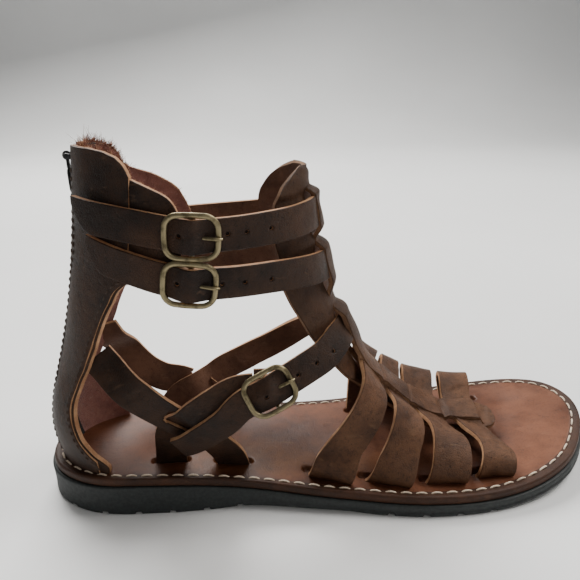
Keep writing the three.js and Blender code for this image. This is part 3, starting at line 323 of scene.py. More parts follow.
# Distance in mm from each grid point to the nearest border, measured along the grid
def edgeDistance(p, keep, joins=None):
    nu, nv = p.shape[:2]
    sideways = np.concatenate([np.zeros((nu, 1)), np.cumsum(np.linalg.norm(np.diff(p, axis=1), axis=-1), 1)], 1)
    lengthways = np.concatenate([np.zeros((1, nv)), np.cumsum(np.linalg.norm(np.diff(p, axis=0), axis=-1), 0)], 0)
    first, second = (0, 0) if joins is None else joins
    d = np.minimum(sideways + 9 * first, sideways[:, -1:] - sideways + 9 * second)
    d = np.minimum(d, np.minimum(lengthways, lengthways[-1:] - lengthways))
    if not keep.all():
        solid = np.pad(keep, 1, constant_values=True)
        whole = solid[:-1, :-1] & solid[1:, :-1] & solid[:-1, 1:] & solid[1:, 1:]
        d = np.where(whole, d, 0)
    return d


# Positions across a strap: close together at both edges, even between
def acrossSteps(width, step=1.0):
    edge = np.array([0, 0.12, 0.3, 0.55, 0.9])
    inner = np.linspace(1.5, width - 1.5, max(int(width / step), 4))
    return np.concatenate([edge, inner, width - edge[::-1]])


# Length run up to each point of a path
def lengthAlong(path):
    return np.concatenate([[0], np.cumsum(np.linalg.norm(np.diff(path, axis=0), axis=1))])


# Points of a path, or of values given along it, at some lengths
def pointsAt(at, lengths, values):
    return np.stack([np.interp(at, lengths, values[:, c]) for c in range(3)], -1)


# Tube of a round or oval profile carried along an open or closed path, ends capped by a point
def sweep(path, radii, closed=False, sides=12, flatten=1.0, flatAxis=None):
    path = np.asarray(path, float)
    n = len(path)
    tangent = np.roll(path, -1, 0) - np.roll(path, 1, 0) if closed else np.gradient(path, axis=0)
    tangent /= np.linalg.norm(tangent, axis=1)[:, None]
    up = np.array(flatAxis if flatAxis is not None else (0.13, 0.27, 0.95), float)
    side = np.cross(tangent, up)
    side /= np.linalg.norm(side, axis=1)[:, None] + 1e-9
    up = np.cross(side, tangent)
    radii = np.broadcast_to(np.asarray(radii, float), n)
    a = np.linspace(0, 2 * np.pi, sides, endpoint=False)
    round_ = np.cos(a)[None, :, None] * side[:, None] + flatten * np.sin(a)[None, :, None] * up[:, None]
    ring = path[:, None] + radii[:, None, None] * round_
    ids = np.arange(n * sides).reshape(n, sides)
    nxt = np.roll(ids, -1, 1)
    if closed:
        f = np.stack([ids, nxt, np.roll(nxt, -1, 0), np.roll(ids, -1, 0)], -1).reshape(-1, 4)
        return ring.reshape(-1, 3), [f[:, ::-1]]
    f = np.stack([ids[:-1], nxt[:-1], nxt[1:], ids[1:]], -1).reshape(-1, 4)
    ends = [path[[0]] - tangent[[0]] * radii[0] * 0.4, path[[-1]] + tangent[[-1]] * radii[-1] * 0.4]
    verts = np.concatenate([ring.reshape(-1, 3), *ends])
    first, lastIds = ids[0], ids[-1]
    capA = np.stack([np.full(sides, n * sides), np.roll(first, -1), first], 1)
    capB = np.stack([np.full(sides, n * sides + 1), lastIds, np.roll(lastIds, -1)], 1)
    return verts, [f[:, ::-1], capA[:, ::-1], capB[:, ::-1]]


# Several (verts, faces) shapes as one object
def joinShapes(name, shapes, material, smoothAngle=50, body="sandal", replaces=()):
    verts, faces, start = [], [], 0
    for v, fs in shapes:
        verts.append(v)
        faces += [np.asarray(f) + start for f in outward(v, fs)]
        start += len(v)
    obj = objectFrom(name, np.concatenate(verts), faces, [0] * len(faces), [material], smoothAngle, body)
    if replaces:
        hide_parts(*replaces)
    return obj


# Rows of stitches: each a short round bar along the path, dipping into the leather at both ends
def stitches(name, paths, material, length, pitch, radius):
    dip = np.array([-1.3, -0.2, 0.45, 0.6, 0.45, -0.2, -1.3]) * radius
    thickness = np.array([0.7, 0.95, 1, 1, 1, 0.95, 0.7]) * radius
    shapes = []
    for path, up in paths:
        d = lengthAlong(path)
        count = int(d[-1] / pitch)
        for k in range(count):
            s = (k + 0.5) * d[-1] / count + np.linspace(-length / 2, length / 2, len(dip))
            ups = pointsAt(s, d, up)
            shapes.append(sweep(pointsAt(s, d, path) + ups * dip[:, None], thickness, sides=8, flatAxis=ups[3]))
    return joinShapes(name, shapes, material, 60)


print("stage: helpers")


# Node group with named inputs and outputs, shared by materials
def newGroup(name, ins, outs):
    g = bpy.data.node_groups.new(name, "ShaderNodeTree")
    for n, kind, value in ins:
        s = g.interface.new_socket(name=n, in_out="INPUT", socket_type=kind)
        if value is not None:
            s.default_value = value
    for n, kind in outs:
        g.interface.new_socket(name=n, in_out="OUTPUT", socket_type=kind)
    return g, g.nodes.new("NodeGroupInput"), g.nodes.new("NodeGroupOutput")


def link(tree, a, b):
    tree.links.new(a, b)


def node(tree, kind, **values):
    n = tree.nodes.new(kind)
    for k, v in values.items():
        if hasattr(n, k):
            setattr(n, k, v)
        else:
            n.inputs[k].default_value = v
    return n


def mix(tree, factor, a, b, mode="MIX"):
    n = tree.nodes.new("ShaderNodeMix")
    n.data_type = "RGBA"
    n.blend_type = mode
    for socket, value in ((n.inputs[0], factor), (n.inputs[6], a), (n.inputs[7], b)):
        if isinstance(value, bpy.types.NodeSocket):
            link(tree, value, socket)
        else:
            socket.default_value = value
    return n.outputs[2]


def ramp(tree, source, stops):
    n = tree.nodes.new("ShaderNodeValToRGB")
    while len(n.color_ramp.elements) < len(stops):
        n.color_ramp.elements.new(0.5)
    for e, (pos, c) in zip(n.color_ramp.elements, stops):
        e.position = pos
        e.color = c if len(c) == 4 else (*c, 1)
    link(tree, source, n.inputs[0])
    return n.outputs[0]


def grey(v):
    return (v, v, v, 1)


# Leather surface: Blotch is a slow cloud, Grain a mesh of fine pores, Height both for a bump, Scratch thin pale marks
def leatherGroup():
    outs = [(n, "NodeSocketFloat") for n in ("Blotch", "Grain", "Height", "Scratch")]
    ins = [("Vector", "NodeSocketVector", None), ("Size", "NodeSocketFloat", 1.0)]
    g, gi, go = newGroup("leatherSurface", ins, outs)
    scale = node(g, "ShaderNodeVectorMath", operation="SCALE")
    link(g, gi.outputs[0], scale.inputs[0])
    link(g, gi.outputs[1], scale.inputs[3])
    v = scale.outputs[0]
    blotch = node(g, "ShaderNodeTexNoise", Scale=38.0, Detail=5.0, Roughness=0.62)
    fine = node(g, "ShaderNodeTexNoise", Scale=300.0, Detail=6.0, Roughness=0.72)
    pores = node(g, "ShaderNodeTexVoronoi", Scale=900.0, feature="DISTANCE_TO_EDGE")
    wrinkle = node(g, "ShaderNodeTexNoise", Scale=150.0, Detail=3.0, Distortion=1.2)
    stretch = node(g, "ShaderNodeMapping")
    stretch.inputs["Scale"].default_value = (0.35, 1.6, 1.0)
    marks = node(g, "ShaderNodeTexNoise", Scale=260.0, Detail=2.0, Distortion=0.6)
    for n in (blotch, fine, pores, wrinkle):
        link(g, v, n.inputs["Vector"])
    link(g, v, stretch.inputs[0])
    link(g, stretch.outputs[0], marks.inputs["Vector"])
    poreRamp = ramp(g, pores.outputs[0], [(0.0, grey(0)), (0.09, grey(1))])
    scratch = ramp(g, marks.outputs[0], [(0.64, grey(0)), (0.74, grey(1))])
    a = node(g, "ShaderNodeMath", operation="MULTIPLY_ADD")
    link(g, poreRamp, a.inputs[0])
    a.inputs[1].default_value = 0.35
    link(g, fine.outputs[0], a.inputs[2])
    b = node(g, "ShaderNodeMath", operation="MULTIPLY_ADD")
    link(g, wrinkle.outputs[0], b.inputs[0])
    b.inputs[1].default_value = 1.1
    link(g, a.outputs[0], b.inputs[2])
    link(g, blotch.outputs[0], go.inputs[0])
    link(g, a.outputs[0], go.inputs[1])
    link(g, b.outputs[0], go.inputs[2])
    link(g, scratch, go.inputs[3])
    return g


leatherSurface = leatherGroup()


# Leather of one finish, optionally darkened with height as painted shade, or reading the painted shade and tone stored
# on the footbed
def leatherMaterial(name, dark, lightTone, scratch, rough, bump, size=1.0, grainShade=0.35, scratchAmount=0.5,
                    sheen=0.0, readsShadeAndTone=False, shadeWithHeight=False):
    m = bpy.data.materials.new(name)
    m.use_nodes = True
    t = m.node_tree
    p = t.nodes["Principled BSDF"]
    co = node(t, "ShaderNodeTexCoord")
    g = t.nodes.new("ShaderNodeGroup")
    g.node_tree = leatherSurface
    g.inputs["Size"].default_value = size
    link(t, co.outputs["Object"], g.inputs["Vector"])
    base = ramp(t, g.outputs["Blotch"], [(0.36, dark), (0.64, lightTone)])
    grainTones = [(0.45, grey(1 - grainShade)), (0.62, grey(1.0)), (0.8, grey(1.0 + grainShade))]
    grain = ramp(t, g.outputs["Grain"], grainTones)
    shaded = mix(t, 1.0, base, grain, "MULTIPLY")
    s = node(t, "ShaderNodeMath", operation="MULTIPLY")
    link(t, g.outputs["Scratch"], s.inputs[0])
    s.inputs[1].default_value = scratchAmount
    coloured = mix(t, s.outputs[0], shaded, (*scratch, 1))
    # Painted shade: colour darkened higher up, down to half at 85 mm
    if shadeWithHeight:
        place = node(t, "ShaderNodeSeparateXYZ")
        link(t, co.outputs["Object"], place.inputs[0])
        height = node(t, "ShaderNodeMapRange", **{"From Min": 0.045, "From Max": 0.085})
        link(t, place.outputs[2], height.inputs[0])
        coloured = mix(t, 1.0, coloured, ramp(t, height.outputs[0], [(0, grey(1)), (1, grey(0.5))]), "MULTIPLY")
    # Footbed: red of the attribute darkens as painted shade and towards the rim, green tints olive
    if readsShadeAndTone:
        shadeAndTone, parts = node(t, "ShaderNodeAttribute", attribute_name="shadeAndTone"), node(t, "ShaderNodeSeparateColor")
        link(t, shadeAndTone.outputs["Color"], parts.inputs[0])
        coloured = mix(t, parts.outputs[1], coloured, mix(t, 1.0, coloured, (1.0, 1.05, 0.55, 1), "MULTIPLY"))
        coloured = mix(t, parts.outputs[0], coloured, mix(t, 1.0, coloured, (0.3, 0.24, 0.22, 1), "MULTIPLY"))
    link(t, coloured, p.inputs["Base Color"])
    r = ramp(t, g.outputs["Blotch"], [(0.3, grey(rough - 0.07)), (0.7, grey(rough + 0.09))])
    link(t, r, p.inputs["Roughness"])
    b = node(t, "ShaderNodeBump", Strength=0.75, Distance=bump * mm)
    link(t, g.outputs["Height"], b.inputs["Height"])
    link(t, b.outputs[0], p.inputs["Normal"])
    p.inputs["Specular IOR Level"].default_value = 0.24
    if sheen:
        p.inputs["Sheen Weight"].default_value = sheen
        p.inputs["Sheen Roughness"].default_value = 0.5
    return m


# Two tones mixed by a noise, which also moves the roughness and a bump
def plainMaterial(name, colour, rough, metallic=0.0, noiseScale=300.0, second=None, bump=0.15, stops=(0.4, 0.62)):
    m = bpy.data.materials.new(name)
    m.use_nodes = True
    t = m.node_tree
    p = t.nodes["Principled BSDF"]
    co = node(t, "ShaderNodeTexCoord")
    n = node(t, "ShaderNodeTexNoise", Scale=noiseScale, Detail=5.0, Roughness=0.6)
    link(t, co.outputs["Object"], n.inputs["Vector"])
    second = second or tuple(c * 0.7 for c in colour)
    link(t, ramp(t, n.outputs[0], [(stops[0], second), (stops[1], colour)]), p.inputs["Base Color"])
    link(t, ramp(t, n.outputs[0], [(0.3, grey(min(rough + 0.12, 1))), (0.7, grey(rough))]), p.inputs["Roughness"])
    p.inputs["Metallic"].default_value = metallic
    b = node(t, "ShaderNodeBump", Strength=0.5, Distance=bump * mm)
    link(t, n.outputs[0], b.inputs["Height"])
    link(t, b.outputs[0], p.inputs["Normal"])
    return m


# Finish of every leather: dark and light tone of its blotches, tint of its scratches, roughness, bump depth in mm
wornBrown = dict(dark=(0.034, 0.014, 0.0065), lightTone=(0.094, 0.043, 0.021), scratch=(0.185, 0.1, 0.052),
                 rough=0.56, bump=0.5, size=1.1, grainShade=0.5, scratchAmount=0.3)
leatherFinishes = dict(
    oiledLeather=dict(dark=(0.0095, 0.0042, 0.0022), lightTone=(0.036, 0.0165, 0.0085), scratch=(0.095, 0.05, 0.026),
                      rough=0.5, bump=0.45, grainShade=0.55),
    toeLeather=wornBrown,
    # Tongue: its leather darkened higher up as painted shade
    tongueLeather=dict(wornBrown, shadeWithHeight=True),
    cutLeather=dict(dark=(0.26, 0.13, 0.065), lightTone=(0.44, 0.25, 0.135), scratch=(0.6, 0.4, 0.25),
                    rough=0.75, bump=0.12, size=2.5, grainShade=0.3),
    darkCut=dict(dark=(0.08, 0.038, 0.02), lightTone=(0.2, 0.11, 0.06), scratch=(0.4, 0.25, 0.15),
                 rough=0.8, bump=0.12, size=2.5),
    fleshLeather=dict(dark=(0.075, 0.034, 0.019), lightTone=(0.135, 0.065, 0.038), scratch=(0.2, 0.11, 0.07),
                      rough=0.85, bump=0.2, size=1.6, sheen=0.3),
    suedeLining=dict(dark=(0.13, 0.045, 0.035), lightTone=(0.24, 0.1, 0.075), scratch=(0.36, 0.2, 0.16),
                     rough=0.95, bump=0.3, size=2.0, sheen=0.5),
    # Footbed leather: reads the painted shade and tone stored on the footbed
    footbedLeather=dict(dark=(0.065, 0.022, 0.0105), lightTone=(0.155, 0.058, 0.029), scratch=(0.23, 0.1, 0.053),
                        rough=0.42, bump=0.12, size=0.75, grainShade=0.22, scratchAmount=0.25, readsShadeAndTone=True),
    footbedSide=dict(dark=(0.022, 0.009, 0.0045), lightTone=(0.05, 0.02, 0.01), scratch=(0.1, 0.048, 0.025),
                     rough=0.5, bump=0.12, size=1.5))
plainFinishes = dict(
    creamThread=dict(colour=(0.82, 0.7, 0.56), second=(0.6, 0.47, 0.34), rough=0.7, noiseScale=1500, bump=0.1),
    brownThread=dict(colour=(0.06, 0.035, 0.022), rough=0.7, noiseScale=1500, bump=0.1),
    blackRubber=dict(colour=(0.014, 0.019, 0.019), second=(0.008, 0.011, 0.011), rough=0.55, noiseScale=600, bump=0.06),
    antiqueBrass=dict(colour=(0.27, 0.225, 0.13), second=(0.1, 0.08, 0.045), rough=0.36, metallic=0.92,
                      noiseScale=220, bump=0.05, stops=(0.36, 0.52)),
    zipBlack=dict(colour=(0.03, 0.03, 0.033), rough=0.35, metallic=0.7, noiseScale=500, bump=0.03),
    tapeCloth=dict(colour=(0.02, 0.02, 0.022), rough=0.9, noiseScale=1800, bump=0.2),
    # Dark fill of the pinholes: painted shade
    holeShade=dict(colour=(0.009, 0.005, 0.004), rough=0.95, noiseScale=900, bump=0.05),
    fibreRed=dict(colour=(0.3, 0.12, 0.09), second=(0.13, 0.05, 0.04), rough=0.9, noiseScale=400, bump=0.02),
    fibreTan=dict(colour=(0.62, 0.38, 0.22), second=(0.3, 0.16, 0.09), rough=0.9, noiseScale=400, bump=0.02))
finish = {name: leatherMaterial(name, **look) for name, look in leatherFinishes.items()}
finish.update({name: plainMaterial(name, **look) for name, look in plainFinishes.items()})

# Materials of a leather piece: face, cut edge and inner side
strapSet = [finish[n] for n in ("oiledLeather", "cutLeather", "fleshLeather")]
tongueSet = [finish[n] for n in ("tongueLeather", "darkCut", "fleshLeather")]
toeSet = [finish[n] for n in ("toeLeather", "cutLeather", "fleshLeather")]
counterSet = [finish[n] for n in ("oiledLeather", "cutLeather", "suedeLining")]
print("stage: materials")


# Side straps, the last between their rows: widths, and how their rear ends dive in behind the counter
sideStraps = dict(width=15.0, instepWidth=14.0, layerRise=2.7, step=0.5, tuckDepth=5.0, tuckStart=6, tuckEnd=24)
rearStart = dict(strapLateral=0.75)


# Place in space of a strap of the last: centre line from its rows, across the strap in the tangent plane
def sideSurface(name, width):
    rows = sideRows[name]
    rowSteps = np.arange(len(rows["round"]), dtype=float)
    end = rowSteps[-1]

    def spot(s):
        x = last["length"] * cubic(rowSteps, rows["along"], s)
        r = np.clip(cubic(rowSteps, rows["round"], s), 0, 1)
        return x, r, lastPoint(x, r)

    s = np.linspace(0, end, 1200)
    x, r, centre = spot(s)
    along = spot(np.minimum(s + 0.1, end))[2] - spot(np.maximum(s - 0.1, 0))[2]
    along /= np.linalg.norm(along, axis=1)[:, None]
    a = lastPoint(x, np.minimum(r + 0.01, 1)) - lastPoint(x, np.maximum(r - 0.01, 0))
    b = lastPoint(x + 1, r) - lastPoint(x - 1, r)
    normal = np.cross(b, a)
    across = np.cross(along, normal)
    across[(r < 0.07) | (r > 0.93)] = (1, 0, 0)
    across /= np.linalg.norm(across, axis=1)[:, None]
    across[across[:, 0] < 0] *= -1
    usable = (centre[:, 2] > soleTopAt(x) + 0.6) & (s >= rearStart.get(name, 0))
    first, stop = np.nonzero(usable)[0][[0, -1]]
    pick = slice(first, stop + 1)
    s, centre, across = s[pick], centre[pick], across[pick]
    length = lengthAlong(centre)
    layer = cubic(rowSteps, rows["layer"], s)

    def surface(u, v):
        return pointsAt(u, length, centre) + pointsAt(u, length, across) * (v - width / 2)[..., None]

    return surface, length[-1], lambda u: sideStraps["layerRise"] * np.interp(u, length, layer)


# Rise of a strap over the centre bar of its buckle: a bell of the distance from the bar
def overBar(p, bar, rise=4.0, reach=5.28):
    return rise * np.exp(-(np.linalg.norm(p - bar, axis=-1) / reach) ** 2)


# Grid of (along, across) places with round holes: cells inside a hole are dropped, its border is drawn on a circle
def punched(us, vs, holes=()):
    u, v = np.meshgrid(us, vs, indexing="ij")
    cu, cv = (u[:-1, :-1] + u[1:, 1:]) / 2, (v[:-1, :-1] + v[1:, 1:]) / 2
    keep = np.ones(cu.shape, bool)
    for a, b, r in holes:
        gone = (cu - a) ** 2 + (cv - b) ** 2 < r * r
        keep &= ~gone
        pad = np.pad(gone, 1)
        some = pad[:-1, :-1] | pad[1:, :-1] | pad[:-1, 1:] | pad[1:, 1:]
        full = pad[:-1, :-1] & pad[1:, :-1] & pad[:-1, 1:] & pad[1:, 1:]
        rim = some & ~full
        d = np.hypot(u - a, v - b) + 1e-9
        u = np.where(rim, a + (u - a) * r / d, u)
        v = np.where(rim, b + (v - b) * r / d, v)
    return u, v, keep


# Positions along a strap: close together at both ends, even between
def steps(length, step=1.0):
    edge = np.array([0, 0.15, 0.4, 0.8])
    inner = np.linspace(1.3, length - 1.3, max(int(length / step), 4))
    return np.concatenate([edge, inner, length - edge[::-1]])


# Buckle axes at a point: along the strap, across it and out of the foot
def axesAt(point, along, out):
    across = np.cross(out, along)
    across /= np.linalg.norm(across)
    along = along / np.linalg.norm(along)
    return np.array(point), along, across, np.cross(along, across)


# Axes of an ankle buckle, at the middle of the outer side
def ankleAxes(rows):
    at = lambda turn: shaftPoint(turn, shaftHeight * cubic(rows["turn"], rows["up"], turn))
    return axesAt(at(90), at(84) - at(96), (0, -1, 0))


# Axes of the instep buckle, where its holder strap ends
def instepAxes():
    rows = sideRows["instepStrap"]
    k = np.arange(len(rows["round"]), dtype=float)
    spot = lambda s: lastPoint(last["length"] * cubic(k, rows["along"], s), cubic(k, rows["round"], s))
    x, r = -0.114 * last["length"], 0.279
    out = np.cross(lastPoint(x + 1, r) - lastPoint(x - 1, r), lastPoint(x, r + 0.01) - lastPoint(x, r - 0.01))
    return axesAt(lastPoint(x, r), spot(13.5) - spot(16.5), out / np.linalg.norm(out))


# Axes of every buckle, width of its strap and rise above the surface
ankleWidth = 13.5
buckles = dict(upper=(ankleAxes(ankleRows["upper"]), ankleWidth, 0.0),
               lower=(ankleAxes(ankleRows["lower"]), ankleWidth, 0.0),
               instep=(instepAxes(), sideStraps["instepWidth"], sideStraps["layerRise"]))


# Points given along, across and out of a set of axes
def inAxes(axes, local):
    point, along, across, out = axes
    local = np.asarray(local, float)
    return point + local[..., :1] * along + local[..., 1:2] * across + local[..., 2:] * out


# Grid smoothed along its first direction by repeated averaging, its two ends left where they are
def softened(p, reach, rounds=3):
    for _ in range(rounds):
        total = np.cumsum(np.pad(p, ((reach + 1, reach), (0, 0), (0, 0)), mode="edge"), axis=0)
        mean = (total[2 * reach + 1:] - total[:-2 * reach - 1]) / (2 * reach + 1)
        i = np.arange(len(p))
        keep = smooth(0, 2 * reach, np.minimum(i, len(p) - 1 - i))[:, None, None]
        p = p * (1 - keep) + mean * keep
    return p


# Toe straps: the last between a rear and a front edge, bulging out over the feet on the outer side
toeStraps = dict(step=0.8, gap=2.7, under=1.1, bulgeUp=6.5, bulgeReach=5.0, bulgeOut=2.4, bulgeMore=3.2)
toeCreases = dict(
    toe_strap_1=[((40, 6), (58, 26), -0.5, 2.2), ((70, 3), (76, 30), 0.45, 3.0), ((88, 4), (84, 34), -0.4, 2.5)],
    toe_strap_2=[((34, 4), (48, 14), -0.4, 1.8), ((64, 3), (60, 16), 0.4, 2.2), ((80, 4), (84, 14), -0.45, 1.8)],
    toe_strap_3=[((30, 3), (38, 16), -0.45, 1.8), ((58, 3), (55, 16), 0.4, 2.4), ((74, 4), (78, 15), -0.5, 2.0)],
    toe_strap_4=[((24, 3), (32, 16), -0.4, 1.8), ((52, 3), (50, 14), 0.35, 2.2), ((66, 4), (70, 14), -0.45, 2.0)])
toeSurfaces = {}
for k, rows in enumerate(toeRows):
    name = f"toe_strap_{k + 1}"
    width = 18 if k else 20
    across = steps(width, toeStraps["step"]) / width
    even = np.linspace(0, 1, 400)
    middleX = last["length"] * (table(rows, "round", "rear", even) + table(rows, "round", "front", even)) / 2
    length = lengthAlong(lastPoint(middleX, even))
    rounds = np.interp(np.arange(0, length[-1], toeStraps["step"]), length, even)
    rounds = rounds[(rounds > 0.03) & (rounds < 0.97)]
    r, s = np.meshgrid(rounds, across, indexing="ij")
    rear, front = (last["length"] * table(rows, "round", c, rounds)[:, None] for c in ("rear", "front"))
    p = softened(lastPoint(rear + s * (front - rear), r), 7)
    base = p[..., 2] - footbedTopAt(p[..., 0])
    bulge = np.exp(-((base - toeStraps["bulgeUp"]) / toeStraps["bulgeReach"]) ** 2)
    bulge = bulge * (p[..., 1] < 0) * smooth(-1, 3, base)
    p[..., 1] -= (toeStraps["bulgeOut"] + toeStraps["bulgeMore"] * s) * bulge
    p[..., 2] -= toeStraps["bulgeOut"] * bulge * s
    u = np.interp(r, even, length)
    v = s * (front - rear)
    extra = sum(crease(u, v, a, b, d, w) for a, b, d, w in toeCreases[name])
    extra = extra + 0.35 * smooth(0, 1, np.abs(s - 0.5) * 2) * np.sin(u * 0.16 + k * 2.1)
    toeSurfaces[name] = p
    low = toeStraps["gap"] - toeStraps["under"] * smooth(0.33, 0.42, r) * (1 - smooth(0.58, 0.67, r))
    plate(name + "_leather", p, low, low + strapLeather, toeSet, extra=extra, replaces=[name])
print("stage: toe straps")

# Pieces of the side: rows, width and the buckle that each strap rises over
sideParts = dict(
    strap_lateral=("strapLateral", sideStraps["width"], None), strap_medial=("strapMedial", sideStraps["width"], None),
    strap_buckle=("buckleStrap", sideStraps["width"], None),
    strap_instep=("instepStrap", sideStraps["instepWidth"], "instep"))
holeShadeDiscs = []


# Thin dark disc of painted shade inside the leather behind each pinhole of a strap, standing in for the dark inside of
# the hole
def shadeHoles(p, u, v, low, holes):
    normal, _ = gridNormals(p)
    spots = p + normal * (low + 0.9)[..., None]
    for a, b, _ in holes:
        i, j = np.unravel_index(np.argmin((u - a) ** 2 + (v - b) ** 2), u.shape)
        path = spots[i, j] + normal[i, j] * np.array([-0.15, 0.15])[:, None]
        holeShadeDiscs.append(sweep(path, 1.0, flatAxis=np.roll(normal[i, j], 1)))


sideHoles = dict(strap_instep=instepHoles)
sideCreases = dict(
    strap_lateral=[((22, 2), (26, 13), -0.35, 1.6), ((52, 2), (50, 13), -0.4, 2.0), ((60, 3), (62, 12), 0.3, 2.0)],
    strap_medial=[((26, 2), (30, 13), -0.4, 1.6), ((44, 2), (42, 13), -0.35, 1.6), ((62, 2), (60, 13), -0.4, 1.8)],
    strap_buckle=[((16, 2), (19, 13), -0.35, 1.6), ((38, 2), (40, 13), 0.35, 2.2)],
    strap_instep=[((52, 2), (55, 12), -0.4, 1.6), ((84, 2), (80, 12), -0.45, 1.8), ((96, 2), (98, 12), 0.3, 2.0),
                  ((112, 2), (109, 12), -0.4, 1.6), ((128, 2), (131, 12), -0.35, 1.6)])
built = {}
for name, (rowName, width, bar) in sideParts.items():
    surface, length, lowOf = sideSurface(rowName, width)
    along, across = steps(length, sideStraps["step"]), acrossSteps(width, sideStraps["step"])
    u, v, keep = punched(along, across, sideHoles.get(name, ()))
    p = surface(u, v)
    low = lowOf(u)
    if bar:
        low = low + overBar(p, buckles[bar][0][0])
    if name in ("strap_lateral", "strap_medial"):
        low = low - sideStraps["tuckDepth"] * (1 - smooth(sideStraps["tuckStart"], sideStraps["tuckEnd"], u))
    extra = sum(crease(u, v, a, b, d, w) for a, b, d, w in sideCreases[name])
    extra = extra + 0.2 * np.sin(u * 0.21 + len(name)) * (2 * v / width - 1)
    built[name] = dict(p=p, low=low, keep=keep, extra=extra)
    shadeHoles(p, u, v, low, sideHoles.get(name, ()))
for name in built:
    normal, _ = gridNormals(built[name]["p"])
    built[name]["mid"] = built[name]["p"] + normal * (built[name]["low"] + strapLeather / 2)[..., None]


# Cells of one strap that lie inside another where it dives through
def slitFor(name, other, reach):
    a = built[name]["mid"]
    cells = (a[:-1, :-1] + a[1:, 1:]) / 2
    o = built[other]["mid"][::2, ::2].reshape(-1, 3)
    o = o[np.linalg.norm(o - cells.reshape(-1, 3).mean(0), axis=1) < 90]
    d = np.array([np.min(np.linalg.norm(row[:, None] - o[None], axis=2), axis=1) for row in cells])
    built[name]["keep"] &= d > reach


slitFor("strap_lateral", "strap_buckle", 2.0)
slitFor("strap_medial", "strap_instep", 2.0)
for name, b in built.items():
    plate(name + "_leather", b["p"], b["low"], b["low"] + strapLeather, strapSet, keep=b["keep"], extra=b["extra"],
          replaces=[name])
print("stage: side straps")

# Ankle straps round the shaft, rising over the bars of their buckles
ankleParts = dict(
    upper=dict(holes=upperHoles, creases=[((30, 2), (34, 12), -0.4, 1.8), ((52, 2), (48, 12), -0.45, 2.0),
                                        ((70, 2), (73, 12), -0.35, 1.6), ((98, 2), (96, 12), 0.3, 2.2)]),
    lower=dict(holes=lowerHoles, creases=[((26, 2), (29, 12), -0.4, 1.6), ((46, 2), (43, 12), -0.4, 2.0),
                                        ((64, 2), (68, 12), -0.4, 1.8), ((92, 2), (95, 12), 0.3, 2.0)]))
for name, part in ankleParts.items():
    rows, width = ankleRows[name], ankleWidth
    turns = np.linspace(rows["turn"][0], rows["turn"][-1], 900)
    share = (turns - turns[0]) / (turns[-1] - turns[0])
    middle = shaftHeight * table(rows, "turn", "up", turns)
    line = shaftPoint(turns, middle)
    length = lengthAlong(line)
    u, v, keep = punched(steps(length[-1], 0.5), acrossSteps(width, 0.5), part["holes"])
    turn = np.interp(u, length, turns)
    bottom = -width / 2 + 0.75 * width * (np.maximum(np.interp(u, length, share) - 0.95, 0) / 0.05) ** 2
    z = np.interp(u, length, middle) + bottom + v / width * (width / 2 - bottom)
    p = shaftPoint(turn, z)
    lift = table(rows, "turn", "lift", turn)
    axes = buckles[name][0]
    low = counterLeather + gap + lift + overBar(shaftPoint(turn, np.interp(u, length, middle)), axes[0])
    extra = sum(crease(u, v, a, b, d, w) for a, b, d, w in part["creases"])
    extra = extra + 0.25 * np.sin(u * 0.12 + 2.0 * len(name)) * (2 * v / width - 1)
    shadeHoles(p, u, v, low, part["holes"])
    plate(f"ankle_strap_{name}_leather", p, low, low + strapLeather, strapSet, keep=keep, extra=extra,
          replaces=[f"ankle_strap_{name}"])
# Dark discs in the pinholes, as one object: painted shade
joinShapes("strap_hole_shade", holeShadeDiscs, finish["holeShade"])
print("stage: ankle straps")

# Tongue: points off the ridge line, lifted where it passes over a strap
weave = dict(band=7.0, lift=4.3, ramp=0.45, overlap=0.55, settle=0.25, step=0.7)
tongueSteps = np.arange(len(tongueRows["along"]), dtype=float)
tongueEnd = tongueSteps[-1]


# Point of the ridge line at a step of the rows
def tongueSpot(s):
    return np.stack([last["length"] * cubic(tongueSteps, tongueRows["along"], s), np.full_like(s, 3.0),
                     shaftHeight * cubic(tongueSteps, tongueRows["up"], s)], -1)


# Point beside the ridge line: across it, dropping away as a parabola
def tonguePoint(s, across):
    ahead = tongueSpot(np.minimum(s + 0.05, tongueEnd)) - tongueSpot(np.maximum(s - 0.05, 0))
    ahead /= np.linalg.norm(ahead, axis=-1)[..., None]
    half, drop, lean = (cubic(tongueSteps, tongueRows[c], s) for c in ("half", "drop", "lean"))
    off = lean * across - drop * across ** 2 / (halfBall * half)
    normal = np.stack([ahead[..., 2], np.zeros_like(s), -ahead[..., 0]], -1)
    out = tongueSpot(s) + normal * off[..., None]
    out[..., 1] += across
    return out


# Step at which a column of the tongue's rows has a value
def stepWhere(column, value):
    s = np.linspace(0, tongueEnd, 6000)
    return s[np.argmin(np.abs(cubic(tongueSteps, tongueRows[column], s) - value))]


crossings = [sorted(stepWhere("along", table(rows, "round", c, 0.5) + d * gap / last["length"])
                    for c, d in (("front", 1), ("rear", -1))) for rows in toeRows]
ridgeAtStrap = float(table(lastRows, "along", "ridgeUp", 0.022))
instepRise = 1.35 * sideStraps["instepWidth"] / shaftHeight
crossings.append(sorted(stepWhere("up", ridgeAtStrap - c * instepRise) for c in (weave["overlap"], -weave["overlap"])))
for rows in ankleRows.values():
    level = float(table(rows, "turn", "up", 0.0))
    crossings.append(sorted(stepWhere("up", level + c * ankleWidth / shaftHeight)
                            for c in (-weave["overlap"], weave["overlap"])))


# Lift of the tongue over the straps: a ramp before and after each crossing
def weaveLift(s):
    ramps = [smooth(a - weave["ramp"], a, s) * (1 - smooth(b, b + weave["ramp"], s)) for a, b in crossings]
    return np.max(ramps, axis=0) * weave["lift"]


